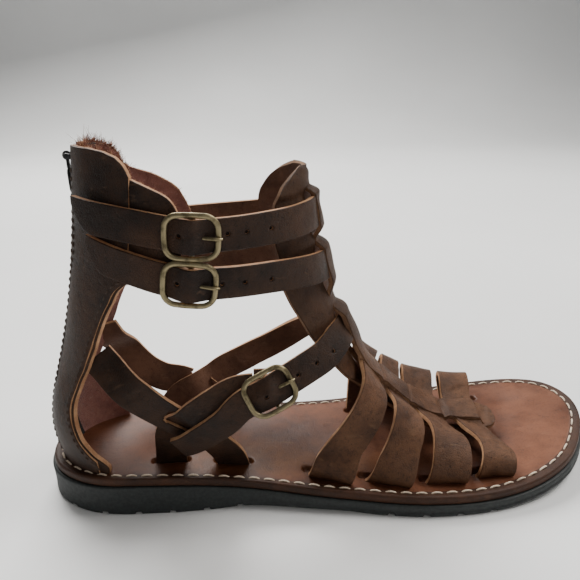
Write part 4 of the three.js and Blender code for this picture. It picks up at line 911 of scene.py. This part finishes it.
# Strip of the tongue between two distances from the ridge line
def tonguePart(name, start, end, fromV, toV, lifted, joinSides, replaces=()):
    s0 = np.linspace(start, end, 3000)
    length = lengthAlong(tongueSpot(s0))
    ss = np.interp(steps(length[-1], weave["step"]), length, s0)
    half = halfBall * cubic(tongueSteps, tongueRows["half"], ss)
    left, right = np.clip(fromV, -half, half), np.clip(toV, -half, half)
    width = 2 * weave["band"] if lifted else 8
    share = steps(width, weave["step"]) / width
    s, c = np.meshgrid(ss, share, indexing="ij")
    across = left[:, None] + c * (right - left)[:, None]
    p = tonguePoint(s, across)
    low = weaveLift(s) if lifted else -weave["settle"] * weaveLift(s)
    joined = (1 - smooth(0, 0.6, weaveLift(ss)))[:, None]
    wave = 0.35 * np.sin(s * 2.3 + across * 0.2) + 0.25 * np.sin(s * 5.1 + 1 + across * 0.5)
    plate(name, p, low, low + strapLeather, tongueSet, extra=wave * 0.8, replaces=replaces,
          joins=(joined * joinSides[0], joined * joinSides[1]))


tonguePart("tongue_band", 0.02, tongueEnd - 0.02, -weave["band"], weave["band"], True, (1, 1), replaces=["tongue"])
tonguePart("tongue_outer_side", 1.05, tongueEnd - 0.16, -halfBall, -weave["band"], False, (0, 1))
tonguePart("tongue_inner_side", 1.05, tongueEnd - 0.16, weave["band"], halfBall, False, (1, 0))
print("stage: tongue")

# Counter halves: level sections from the zip to the front edge, with slow waves and two folds
counter = dict(zipHalf=3.5, step=0.9, foldUp=60, foldSlope=12, foldDepth=0.5)
counterCurves = {}
for side, name, column in ((1, "lateral", "outer"), (-1, "medial", "inner")):
    bottom = float(soleTopAt(-halfLength)) + 0.6
    z = bottom + steps(shaftHeight - bottom, counter["step"])
    up = z / shaftHeight
    middle, rearX, half = (last["length"] * table(shaftRows, "up", c, up) for c in ("middle", "rear", "middle"))
    half = halfBall * table(shaftRows, "up", "half", up)
    edge = last["length"] * table(counterRows, "up", column, up)
    front = np.degrees(np.arccos(np.clip((middle - edge) / (middle - rearX), -1, 1)))
    rear = np.degrees(np.arcsin(counter["zipHalf"] / half))
    share = steps(50, 0.8) / 50
    zz, c = np.meshgrid(z, share, indexing="ij")
    turn = side * (180 - rear[:, None] - (front - rear)[:, None] * c)
    p = shaftPoint(turn, zz)
    counterCurves[name] = (turn, zz, c)
    wave = 0.5 * np.sin(zz * 0.11 + c * 3 + side) * np.sin(c * np.pi) + 0.35 * np.sin(zz * 0.23 + c * 5)
    fold = -counter["foldDepth"] * np.exp(-((zz - counter["foldUp"] - counter["foldSlope"] * c) / 3.5) ** 2)
    fold = fold - 0.4 * np.exp(-((zz - 92 + 9 * c) / 3.0) ** 2)
    plate(f"counter_{name}_leather", p, 0, counterLeather, counterSet, extra=0.6 * wave + fold,
          replaces=[f"counter_{name}"])

# Rear panel of each half, standing over the ankle wing with a round top corner and its own cut edge: height of its
# top over the turn past its seam, the seam's turn, its foot, its two levels and how far it stops short of the edge
panel = dict(seam=dict(lateral=119, medial=136), rear=173, foot=17.0, low=1.2, high=counterLeather + 1.1, back=1.6)
panelTurns, panelTops = np.array([0, 2, 4, 8, 16, 26, 61.0]), np.array([157.5, 160.6, 162.6, 165, 167, 167.8, 167.8])
for side, name in ((1, "lateral"), (-1, "medial")):
    seam = panel["seam"][name]
    turn, zz, c = counterCurves[name]
    share = steps(46, 0.8) / 46
    level = steps(150, 1.0) / 150
    top = np.interp((panel["rear"] - seam) * (1 - share), panelTurns, panelTops)
    z = panel["foot"] + level[:, None] * (top - panel["foot"])[None]
    frontEdge = side * np.interp(z, zz[:, 0], turn[:, -1])
    reach = np.maximum(seam, np.where(z < 138, frontEdge + panel["back"], 0))
    rearEdge = side * np.interp(z, zz[:, 0], turn[:, 0])
    p = shaftPoint(side * (rearEdge - (rearEdge - reach) * share[None]), z)
    fold = np.exp(-((z - counter["foldUp"] - counter["foldSlope"] * share[None]) / 3.5) ** 2)
    folds = 0.35 * np.sin(z * 0.13 + side) * np.sin(share * np.pi)[None] - 0.4 * fold
    plate(f"counter_{name}_panel", p, panel["low"], panel["high"], counterSet, extra=folds)


# Loose fibres: thin three-sided hairs from their roots, bent sideways, as one object
fuzz = dict(count=900, onTop=(0.6, 1.3), onFront=(0.3, 0.9), redShare=0.55, bend=0.8, thick=(0.08, 0.17))


def fibres(name, roots, way, lengths, material, seed):
    rng = np.random.default_rng(seed)
    count = len(roots)
    bend = rng.normal(size=(count, 3)) * lengths[:, None] * fuzz["bend"]
    t = np.linspace(0, 1, 4)[None, :, None]
    line = roots[:, None] + way[:, None] * lengths[:, None, None] * t + bend[:, None] * t ** 2
    thick = rng.uniform(*fuzz["thick"], count)[:, None, None] * np.array([1, 0.9, 0.7, 0.3])[None, :, None]
    u = np.cross(way, rng.normal(size=(count, 3)))
    u /= np.linalg.norm(u, axis=1)[:, None]
    v = np.cross(way, u)
    rings = np.stack([line + thick * (np.cos(a) * u + np.sin(a) * v)[:, None] for a in (0, 2.094, 4.189)], 2)
    ids = np.arange(count * 12).reshape(count, 4, 3)
    nxt = np.roll(ids, -1, 2)
    sides = np.stack([ids[:, :-1], nxt[:, :-1], nxt[:, 1:], ids[:, 1:]], -1).reshape(-1, 4)
    obj = objectFrom(name, rings.reshape(-1, 3), [sides, ids[:, 0, ::-1], ids[:, -1]], [0, 0, 0], [material], 60)


count = fuzz["count"]
rng = np.random.default_rng(7)
roots, way, lengths = [], [], []
for side, name in ((1, "lateral"), (-1, "medial")):
    turn, zz, c = counterCurves[name]
    seam = panel["seam"][name]
    a = seam + (172 - seam) * rng.random(count) ** 0.8
    z = np.interp(a - seam, panelTurns, panelTops) - 0.8
    edgeZ = rng.uniform(103, 157, count)
    edgeTurn = np.interp(edgeZ, zz[:, 0], turn[:, -1]) + side * 1.0
    where = np.concatenate([shaftPoint(side * a, z), shaftPoint(edgeTurn, edgeZ)])
    inward = (np.array([-58.0, 0, 0]) - where) * (1, 1, 0)
    inward /= np.linalg.norm(inward, axis=1)[:, None]
    roots.append(where + inward * rng.uniform(-0.5, 0.4, (2 * count, 1)))
    up = np.repeat([[0, 0, 1.0], [0.8, 0, 0.6]], count, axis=0)
    d = up + inward * rng.uniform(0.0, 0.9, (2 * count, 1)) + rng.normal(size=(2 * count, 3)) * 0.35
    way.append(d / np.linalg.norm(d, axis=1)[:, None])
    onTop = fuzz["onTop"][0] + fuzz["onTop"][1] * rng.random(count) * (1 + 0.9 * smooth(150, 168, a))
    lengths += [onTop, rng.uniform(*fuzz["onFront"], count)]
roots, way, lengths = (np.concatenate(v) for v in (roots, way, lengths))
red = rng.random(len(roots)) < fuzz["redShare"]
fibres("lining_fibres", roots[red], way[red], lengths[red], finish["fibreRed"], 11)
fibres("edge_fibres", roots[~red], way[~red], lengths[~red] * 0.8, finish["fibreTan"], 12)
print("stage: counters")


# Loop of the sole outline drawn in by an inset: outer side heel to toe, inner side back again
def soleRing(x0, inset):
    turn = np.arccos(-x0 / halfLength) / np.pi
    lateral, medial = (halfBall * table(outlineRows, "turn", c, turn) for c in ("lateral", "medial"))
    x = x0 * (1 - inset / halfLength)
    middle, half = (lateral + medial) / 2, (medial - lateral) / 2 * (1 - inset / halfBall)
    return x, middle - half, middle + half


# Closed loop of points: along the outer side of a ring, then back along the inner side
def loopOf(x, outer, inner, z):
    return np.concatenate([np.stack([x, outer, z], 1), np.stack([x, inner, z], 1)[-2:0:-1]])


stations = halfLength * np.sin(np.linspace(-np.pi / 2, np.pi / 2, 760))
n = len(stations)
tread = dict(depth=1.6, half=1.5, pitch=16, heelFirst=-127.8, heelCount=6, foreFirst=22.7, foreCount=4)
grooves = np.concatenate([tread["heelFirst"] + tread["pitch"] * np.arange(tread["heelCount"]),
                          tread["foreFirst"] + tread["pitch"] * np.arange(tread["foreCount"])])


# Rise of the underside inside a tread groove
def treadLift(x):
    away = np.min(np.abs(np.asarray(x)[..., None] - grooves), axis=-1)
    return tread["depth"] * (away < tread["half"])


# Side rows of a sole piece from underside to upper face: inset, share of the height and step from there, in mm
soleProfile = [(1.6, 0, 0.0), (0.9, 0, 0.0), (0.35, 0, 0.25), (0.1, 0, 0.7), (0.02, 0, 1.2), (0.0, 0, 2.2),
               (0.12, 0.25, 0), (0.2, 0.5, 0), (0.12, 0.75, 0), (0.0, 1, -1.6), (0.05, 1, -0.8), (0.25, 1, -0.25),
               (0.7, 1, 0.0), (1.6, 1, 0.0)]
bedProfile = [(3.0, 0, 0.0), (1.6, 0, 0.0), (1.45, 0, 0.3), (1.35, 0.3, 0), (1.4, 0.6, 0), (1.5, 1, -1.0),
              (1.75, 1, -0.45), (2.2, 1, -0.12), (2.9, 1, 0.0), (4.4, 1, -0.35), (5.2, 1, -0.45), (6.2, 1, -0.3)]


# Sole piece: its profile carried round the outline, with a grid across the underside and the upper face
def ringBody(name, profile, bottomAt, topAt, materials, capRows, replaces, notch=False, amount=0.0):
    loops = []
    for inset, share, off in profile:
        x, ya, yb = soleRing(stations, inset)
        z = bottomAt(x) * (1 - share) + topAt(x) * share + off
        if notch and share == 0:
            z = bottomAt(x) + np.maximum(off, treadLift(x) + 0.02 * len(loops))
        loops.append(loopOf(x, ya, yb, z))
    p = np.stack(loops)
    m = p.shape[1]
    p = p + np.array([0, 1, 0]) * (unevenness(p, amount) * (np.abs(p[..., 1]) > 5))[..., None] * np.sign(p[..., 1:2])
    ids = np.arange(p.shape[0] * m).reshape(p.shape[0], m)
    nxt = np.roll(ids, -1, 1)
    side = np.stack([ids[:-1], nxt[:-1], nxt[1:], ids[1:]], -1).reshape(-1, 4)
    verts, faces = [p.reshape(-1, 3)], [side]
    start = ids.size
    slots = [0]
    for row, flip, top in ((0, False, False), (-1, True, True)):
        lat = ids[row, :n]
        med = np.concatenate([[ids[row, 0]], ids[row, n:][::-1], [ids[row, n - 1]]])
        a, b = p[row, :n], np.concatenate([p[row, :1], p[row, n:][::-1], p[row, n - 1:n]])
        k = capRows if top else 2
        inner = a[:, None] + (b - a)[:, None] * (np.arange(1, k) / k)[None, :, None]
        if top and amount:
            inner[..., 2] += dentAt(inner)
        grid = np.concatenate([lat[:, None], start + np.arange(n * (k - 1)).reshape(n, k - 1), med[:, None]], 1)
        start += n * (k - 1)
        verts.append(inner.reshape(-1, 3))
        q = grid[1:-1]
        f = np.stack([q[:-1, :-1], q[1:, :-1], q[1:, 1:], q[:-1, 1:]], -1).reshape(-1, 4)
        ends = np.concatenate([np.stack([np.full(k, grid[0, 0]), q[0, :-1], q[0, 1:]], 1),
                               np.stack([q[-1, :-1], np.full(k, grid[-1, 0]), q[-1, 1:]], 1)])
        faces += [f, ends] if flip else [f[:, ::-1], ends[:, ::-1]]
        slots += [min(len(materials) - 1, 1) if top else 0] * 2
    obj = objectFrom(name, np.concatenate(verts), faces, slots, materials, 45)
    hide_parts(*replaces)
    return obj


# Feet of the straps where they enter the footbed, each as its two end points, and the foot's impressions:
# middle, half sizes and height in mm
footFeet = []
for key, (rowName, width, _) in sideParts.items():
    surface, length, _ = sideSurface(rowName, width)
    for at in (0.5, length - 0.5):
        a, b = surface(np.array(at), np.array(0.0)), surface(np.array(at), np.array(width))
        if max(a[2], b[2]) < 32:
            footFeet.append((a, b))
for p in toeSurfaces.values():
    footFeet += [(p[0, 0], p[0, -1]), (p[-1, 0], p[-1, -1])]
dents = [(-96, 1, 26, 22, -1.3), (62, 14, 20, 22, -0.9), (46, -22, 26, 16, -0.8), (104, 26, 9, 8, -0.9),
         (97, 6, 7, 6, -0.6), (88, -8, 7, 6, -0.6), (78, -20, 6, 6, -0.5), (68, -30, 6, 5, -0.5),
         (-20, 20, 36, 12, 1.2)]
slotRim = dict(depth=2.2, inner=1.0, outer=2.6)


# Height added to the footbed: sum of the impressions, faded out near the edge, less a groove round each slot
def dentAt(p):
    x, y = p[..., 0], p[..., 1]
    out = sum(d * np.exp(-((x - cx) / rx) ** 2 - ((y - cy) / ry) ** 2) for cx, cy, rx, ry, d in dents)
    out = out + unevenness(p, 0.35, 3)
    edge = np.minimum(y - outlineAt(x, "lateral"), outlineAt(x, "medial") - y)
    out = out * smooth(2, 9, edge)
    for a, b in footFeet:
        d = (b - a)[:2]
        t = np.clip(((x - a[0]) * d[0] + (y - a[1]) * d[1]) / (d @ d), 0.0, 1.0)
        away = np.hypot(x - a[0] - t * d[0], y - a[1] - t * d[1])
        out = out - slotRim["depth"] * (1 - smooth(slotRim["inner"], slotRim["outer"], away))
    return out


ringBody("outsole_rubber", soleProfile, undersideAt, soleTopAt, [finish["blackRubber"]], 3, ["outsole"],
         notch=True)
bed = ringBody("footbed_leather", bedProfile, lambda x: soleTopAt(x) + 0.25, footbedTopAt,
               [finish["footbedSide"], finish["footbedLeather"]], 84, ["footbed"], amount=0.08)

# Painted shade and tone of the footbed as an attribute: red darkens heel, slots, toes and an outer patch as painted
# shade and darkens towards the rim, green tints the outer side olive
co = np.empty(len(bed.data.vertices) * 3, np.float32)
bed.data.vertices.foreach_get("co", co)
x, y = co.reshape(-1, 3)[:, 0] / mm, co.reshape(-1, 3)[:, 1] / mm
edge = np.minimum(y - outlineAt(x, "lateral"), outlineAt(x, "medial") - y)
# Heel, outer patch, slots and toes darkened as painted shade; rim darker towards the edge
shadeAndRim = dict(rim=0.75, heel=0.45, outer=0.4, slot=0.8, toe=0.35)
spot = lambda cx, cy, rx, ry: np.exp(-((x - cx) / rx) ** 2 - ((y - cy) / ry) ** 2)
dark = shadeAndRim["rim"] * (1 - smooth(2.5, 9, edge)) + shadeAndRim["heel"] * np.exp(-((x + 128) / 16) ** 2)
dark = dark + shadeAndRim["outer"] * spot(-25, -24, 30, 7)
# Painted shade round the slots where the straps go in
for a, b in footFeet:
    dark = dark + shadeAndRim["slot"] * np.exp(-(np.hypot(x - (a[0] + b[0]) / 2, y - (a[1] + b[1]) / 2) / 9) ** 2)
for cx, cy, rx, ry, _ in dents[3:8]:
    dark = dark + shadeAndRim["toe"] * spot(cx, cy, rx, ry)
olive = spot(-40, -16, 34, 14) + 0.5 * spot(10, -20, 20, 10)
shadeAndTone = bed.data.color_attributes.new("shadeAndTone", "FLOAT_COLOR", "POINT")
tones = np.stack([np.clip(dark, 0, 1), np.clip(olive, 0, 0.8), np.zeros_like(dark), np.ones_like(dark)], 1)
shadeAndTone.data.foreach_set("color", tones.astype(np.float32).ravel())
print("stage: sole")

# Cream stitches round the footbed, inside its edge
bedStitch = dict(inset=5.4, sunk=0.3, length=5.6, pitch=7.1, radius=0.46)
x, ya, yb = soleRing(stations, bedStitch["inset"])
loop = loopOf(x, ya, yb, footbedTopAt(x) - bedStitch["sunk"])
loop = np.concatenate([loop, loop[:1]])
stitches("footbed_stitches", [(loop, np.tile([0, 0, 1.0], (len(loop), 1)))], finish["creamThread"],
         bedStitch["length"], bedStitch["pitch"], bedStitch["radius"])

# Buckles: swept rounded frame, centre bar with its posts, prong hooked over the far bar
frameSizes = dict(half=9.9, corner=4.3, wire=1.2, bar=1.05, up=5.6, barUp=3.5, hook=1.9, crown=0.55, bow=0.6,
                  prong=0.92, prongTaper=0.25)
for name, (axes, width, rise) in buckles.items():
    low, barUp, wire = frameSizes["up"] + rise, frameSizes["barUp"] + rise, frameSizes["wire"]
    a, b, r = frameSizes["half"], (width + wire) / 2 + 0.9, frameSizes["corner"]
    corner = np.linspace(0, np.pi / 2, 7)
    path = []
    for cx, cy, start in ((a - r, b - r, 0), (-a + r, b - r, 1), (-a + r, -b + r, 2), (a - r, -b + r, 3)):
        t = corner + start * np.pi / 2
        path.append(np.stack([cx + r * np.cos(t), cy + r * np.sin(t)], 1))
    ring = np.concatenate(path)
    dense = []
    for p0, p1 in zip(ring, np.roll(ring, -1, 0)):
        count = max(int(np.linalg.norm(p1 - p0) / 0.8), 1)
        dense.append(p0 + (p1 - p0) * np.linspace(0, 1, count, endpoint=False)[:, None])
    ring = np.concatenate(dense)
    onSide = np.abs(ring) > np.array([a, b]) * 0.8
    ring = ring + frameSizes["crown"] * np.sign(ring) * np.maximum(1 - (ring[:, ::-1] / (b, a)) ** 2, 0) * onSide
    bow = low + wire - frameSizes["bow"] * (ring[:, 0] / a) ** 2
    path = np.column_stack([ring, bow])
    shapes = [sweep(inAxes(axes, path), wire, closed=True, sides=16, flatten=0.8, flatAxis=axes[3])]
    bar = np.column_stack([np.zeros(20), np.linspace(-b, b, 20), np.full(20, barUp)])
    shapes.append(sweep(inAxes(axes, bar), frameSizes["bar"], sides=14))
    for side in (-1, 1):
        post = np.column_stack([np.zeros(8), np.full(8, side * b), np.linspace(barUp - 0.2, low + wire, 8)])
        shapes.append(sweep(inAxes(axes, post), frameSizes["bar"], sides=14))
    joinShapes(f"buckle_{name}_metal", shapes, finish["antiqueBrass"], replaces=[f"buckle_{name}"])
    turn = np.linspace(5.2, 0.5, 20)
    hook = np.column_stack([frameSizes["hook"] * np.cos(turn), np.zeros(20), barUp + frameSizes["hook"] * np.sin(turn)])
    arm = [(2.6, 0, barUp + 2.2), (5, 0, low + 1.5), (7.6, 0, low + 2.2), (9.6, 0, low + 2.5), (11, 0, low + 2.5),
           (11.9, 0, low + 1.8)]
    path = np.concatenate([hook, arm])
    d = lengthAlong(path)
    at = np.linspace(0, d[-1], 70)
    path = pointsAt(at, d, path)
    thin = frameSizes["prong"] - frameSizes["prongTaper"] * smooth(0.85, 1.0, at / at[-1])
    joinShapes(f"prong_{name}_metal", [sweep(inAxes(axes, path), thin, flatten=0.8, flatAxis=axes[2])],
               finish["antiqueBrass"], replaces=[f"prong_{name}"])
print("stage: buckles")

# Turned leather holders round the centre bars, slotted for the prong
holder = dict(leather=1.5, bend=3.05, turn=(-1.35, 2.6), narrower=0.6, slotHalf=1.2)
for name, (axes, width, rise) in buckles.items():
    t = np.linspace(*holder["turn"], 40)
    bend = np.column_stack([np.cos(t), np.sin(t)])
    lowLine = np.column_stack([np.linspace(-9, 0.3, 14), np.full(14, 0.15)])
    backLine = np.column_stack([np.linspace(-3.0, -9.5, 12), np.linspace(4.3, 2.75, 12)])
    outer = np.concatenate([lowLine[:-1], bend * holder["bend"] + (0, frameSizes["barUp"]), backLine])
    d = np.gradient(outer, axis=0)
    d /= np.linalg.norm(d, axis=1)[:, None]
    inner = outer + np.column_stack([-d[:, 1], d[:, 0]]) * holder["leather"]
    wide = width - holder["narrower"]
    vs = acrossSteps(wide, 0.8) - wide / 2
    slot = np.abs((vs[:-1] + vs[1:]) / 2) < holder["slotHalf"]
    k = np.arange(len(outer) - 1)
    keep = ~(slot[None, :] & ((k > 13) & (k < 50))[:, None])
    grid = lambda line: inAxes(axes, np.stack([np.repeat(line[:, :1], len(vs), 1), np.repeat(vs[None], len(line), 0),
                                               np.repeat(line[:, 1:] + rise, len(vs), 1)], -1))
    po, pi = grid(outer), grid(inner)
    thick = po - pi
    length = np.linalg.norm(thick, axis=-1, keepdims=True)
    plate(f"holder_{name}_leather", pi, 0, holder["leather"], strapSet, keep=keep, normals=(thick / length, -1.0),
          roll=0.3)
print("stage: holders")

# Zip: curved tape, chain of teeth, slider with its bail and the pull tab
zipper = dict(foot=19.8, top=167.7, tapeHalf=8.5, tapeSteps=24, firstTooth=21.5, lastTooth=156.5, pitch=1.15,
              toothHalf=(0.5, 1.4, 0.7), sliderUp=0.955, sliderHalf=(4.4, 3.0, 1.1), noseHalf=(1.6, 2.4, 0.9),
              earHalf=(1.1, 0.45, 1.7), bailAlong=2.25, bailUp=5.7, bailWire=0.75)
pullTab = dict(hinge=(-112.0, 0, 163.38), eye=1.5, eyeWire=0.5, neckHalf=(2.2, 1.3, 0.55), along=10.3,
               half=(5.0, 2.4, 0.62), inlayHalf=(3.4, 1.4, 0.5))
zs = zipper["foot"] + steps(zipper["top"] - zipper["foot"], 1.2)
half = halfBall * table(shaftRows, "up", "half", zs / shaftHeight)
reach = np.degrees(np.arcsin(zipper["tapeHalf"] / half))
turn = 180 + reach[:, None] * np.linspace(-1, 1, zipper["tapeSteps"])[None]
p = shaftPoint(turn, np.repeat(zs[:, None], zipper["tapeSteps"], 1))
plate("zip_tape_cloth", p, -2.1, -0.9, [finish["tapeCloth"]], roll=0.1, replaces=["zip_tape"])


# Block with rounded edges: a superellipsoid of the given half sizes in local axes
def softBlock(axes, centre, half, power=0.3, around=24, up=14):
    u = np.linspace(0, 2 * np.pi, around, endpoint=False)
    v = np.linspace(-np.pi / 2, np.pi / 2, up + 1)[1:-1]
    bend = lambda a: np.sign(a) * np.abs(a) ** power
    uu, vv = np.meshgrid(u, v)
    p = np.stack([half[0] * bend(np.cos(vv)) * bend(np.cos(uu)), half[1] * bend(np.cos(vv)) * bend(np.sin(uu)),
                  half[2] * bend(np.sin(vv))], -1) + centre
    ids = np.arange(p.shape[0] * around).reshape(-1, around)
    nxt = np.roll(ids, -1, 1)
    total = ids.size
    poles = [np.array(centre) - (0, 0, half[2]), np.array(centre) + (0, 0, half[2])]
    verts = np.concatenate([p.reshape(-1, 3), poles])
    faces = [np.stack([ids[:-1], nxt[:-1], nxt[1:], ids[1:]], -1).reshape(-1, 4),
             np.stack([nxt[0], ids[0], np.full(around, total)], 1),
             np.stack([ids[-1], nxt[-1], np.full(around, total + 1)], 1)]
    return inAxes(axes, verts), faces


teeth = []
for k, z in enumerate(np.arange(zipper["firstTooth"], zipper["lastTooth"], zipper["pitch"])):
    point = shaftPoint(180.0, z)
    up = shaftPoint(180.0, z + 1) - shaftPoint(180.0, z - 1)
    side = 1 if k % 2 else -1
    teeth.append(softBlock(axesAt(point, up, (-1, 0, 0)), (0, side * 0.7, -0.9), zipper["toothHalf"], 0.4, 12, 8))
joinShapes("zip_teeth_metal", teeth, finish["zipBlack"], replaces=["zip_teeth"])
sliderUp = zipper["sliderUp"] * shaftHeight
zipAxes = axesAt(shaftPoint(180.0, sliderUp),
                 shaftPoint(180.0, sliderUp + 4) - shaftPoint(180.0, sliderUp - 4), (-1, 0, 0))
along = zipper["bailAlong"]
bail = np.column_stack([np.full(12, along), np.linspace(-2.2, 2.2, 12), np.full(12, zipper["bailUp"])])
slider = [softBlock(zipAxes, (0, 0, 2.4), zipper["sliderHalf"], 0.35),
          softBlock(zipAxes, (-3.2, 0, 2.3), zipper["noseHalf"], 0.5), sweep(inAxes(zipAxes, bail), zipper["bailWire"])]
for side in (-1, 1):
    slider.append(softBlock(zipAxes, (along, side * 2.25, 4.9), zipper["earHalf"], 0.35))
joinShapes("zip_slider_metal", slider, finish["zipBlack"], replaces=["zip_slider"])
hang = (np.array(pullTab["hinge"]), np.array([0, 0, -1.0]), np.array([0, 1.0, 0]), np.array([1.0, 0, 0]))
t = np.linspace(0, 2 * np.pi, 32, endpoint=False)
eye = np.column_stack([pullTab["eye"] * np.cos(t), np.zeros(32), pullTab["eye"] * np.sin(t)])
pull = [sweep(inAxes(hang, eye), pullTab["eyeWire"], closed=True),
        softBlock(hang, (3.4, 0, 0), pullTab["neckHalf"], 0.4),
        softBlock(hang, (pullTab["along"], 0, 0), pullTab["half"], 0.4),
        softBlock(hang, (pullTab["along"], 0, 0.35), pullTab["inlayHalf"], 0.5)]
joinShapes("zip_pull_metal", pull, finish["zipBlack"], body="pull", replaces=["zip_pull"])
print("stage: zip")

# Dark stitches on the counter: two rows beside the zip and one inside the front edge
counterStitch = dict(rows=(0.07, 0.13, 0.9), foot=22, zipTop=160, frontTop=118, up=1.0,
                     length=2.6, pitch=3.4, radius=0.34)
rowsOfStitches = []
for side, name in ((1, "lateral"), (-1, "medial")):
    turn, zz, c = counterCurves[name]
    for share in counterStitch["rows"]:
        at = np.array([np.interp(share, c[i], turn[i]) for i in range(len(turn))])
        z = zz[:, 0]
        pick = (z > counterStitch["foot"]) & (z < counterStitch["zipTop" if share < 0.5 else "frontTop"])
        p = shaftPoint(at, z)[pick]
        q = shaftPoint(at + side * 1.0, z)[pick]
        normal = np.cross(np.gradient(p, axis=0), q - p) * side
        normal /= np.linalg.norm(normal, axis=1)[:, None]
        if np.sum(normal * (p - (-60, 0, 0)) * (1, 1, 0)) < 0:
            normal = -normal
        rowsOfStitches.append((p + normal * (counterLeather + counterStitch["up"]), normal))
stitches("counter_stitches", rowsOfStitches, finish["brownThread"], counterStitch["length"], counterStitch["pitch"],
         counterStitch["radius"])
print("stage: stitches")

# Floor that turns up into a wall behind, soft studio light and the camera at the photo's angle; sizes in metres
stage = dict(half=3.0, bendAt=1.2, bendRadius=0.8, wallTop=3.2)
floorMaterial = bpy.data.materials.new("paleFloor")
floorMaterial.use_nodes = True
t = floorMaterial.node_tree
co, noise = node(t, "ShaderNodeTexCoord"), node(t, "ShaderNodeTexNoise", Scale=3.0, Detail=4.0)
link(t, co.outputs["Object"], noise.inputs["Vector"])
shader = t.nodes["Principled BSDF"]
link(t, ramp(t, noise.outputs[0], [(0.3, (0.86, 0.87, 0.87)), (0.7, (0.92, 0.93, 0.93))]), shader.inputs["Base Color"])
shader.inputs["Roughness"].default_value = 0.42
turn = np.linspace(0.1, np.pi / 2, 14)
back = np.concatenate([[-stage["half"], 0, stage["bendAt"]], stage["bendAt"] + stage["bendRadius"] * np.sin(turn),
                       [stage["bendAt"] + stage["bendRadius"]]])
rise = np.concatenate([[0, 0, 0], stage["bendRadius"] * (1 - np.cos(turn)), [stage["wallTop"]]])
u, v = np.meshgrid(np.linspace(-stage["half"], stage["half"], 9), back, indexing="ij")
p = np.stack([u, v, np.repeat(rise[None], 9, 0)], -1)
ids = np.arange(u.size).reshape(u.shape)
quads = np.stack([ids[:-1, :-1], ids[1:, :-1], ids[1:, 1:], ids[:-1, 1:]], -1).reshape(-1, 4)
mesh = bpy.data.meshes.new("floor")
mesh.from_pydata(p.reshape(-1, 3).tolist(), [], quads.tolist())
mesh.materials.append(floorMaterial)
mesh.shade_smooth()
floor = bpy.data.objects.new("floor", mesh)
bpy.context.scene.collection.objects.link(floor)


# Soft rectangular light at a place, turned to its aim
def areaLight(name, place, aim, size, power, colour=(1, 1, 1)):
    data = bpy.data.lights.new(name, "AREA")
    data.shape = "RECTANGLE"
    data.size, data.size_y, data.energy, data.color = size[0], size[1], power, colour
    obj = bpy.data.objects.new(name, data)
    obj.location = place
    obj.rotation_euler = (Vector(aim) - Vector(place)).to_track_quat("-Z", "Y").to_euler()
    bpy.context.scene.collection.objects.link(obj)


areaLight("keyBehind", (-0.35, 1.0, 1.1), (0, 0, 0.05), (1.1, 0.8), 35, (1, 0.98, 0.95))
areaLight("topSoft", (0.75, 0.15, 1.0), (0, 0, 0), (0.6, 0.6), 13, (1, 0.97, 0.93))
areaLight("nearFill", (0.7, -1.0, 0.7), (0, 0, 0.06), (0.7, 0.5), 2.4, (1, 0.96, 0.9))
sky = bpy.data.worlds.new("studio")
sky.use_nodes = True
sky.node_tree.nodes["Background"].inputs[0].default_value = (0.9, 0.89, 0.88, 1)
sky.node_tree.nodes["Background"].inputs[1].default_value = 0.2
bpy.context.scene.world = sky

# Camera found from the photo: place in metres, tilt and roll in degrees, heading as a direction, lens in mm
view = dict(place=(-0.0388, -0.2458, 0.196), tilt=21.7, roll=1.1, heading=(0.0785, 0.9969), lens=34.76, sensor=36)
tilt, roll = math.radians(view["tilt"]), math.radians(view["roll"])
ahead = Vector((*(h * math.cos(tilt) for h in view["heading"]), -math.sin(tilt))).normalized()
right = ahead.cross(Vector((0, 0, 1))).normalized()
upward = right.cross(ahead)
turned = right * math.cos(roll) - upward * math.sin(roll)
lens = bpy.data.cameras.new("camera")
lens.lens, lens.sensor_width, lens.clip_start, lens.clip_end = view["lens"], view["sensor"], 0.01, 20
camera = bpy.data.objects.new("camera", lens)
facing = Matrix((turned, turned.cross(ahead), -ahead)).transposed().to_4x4()
camera.matrix_world = Matrix.Translation(view["place"]) @ facing
bpy.context.scene.collection.objects.link(camera)
bpy.context.scene.camera = camera
print("stage: camera")
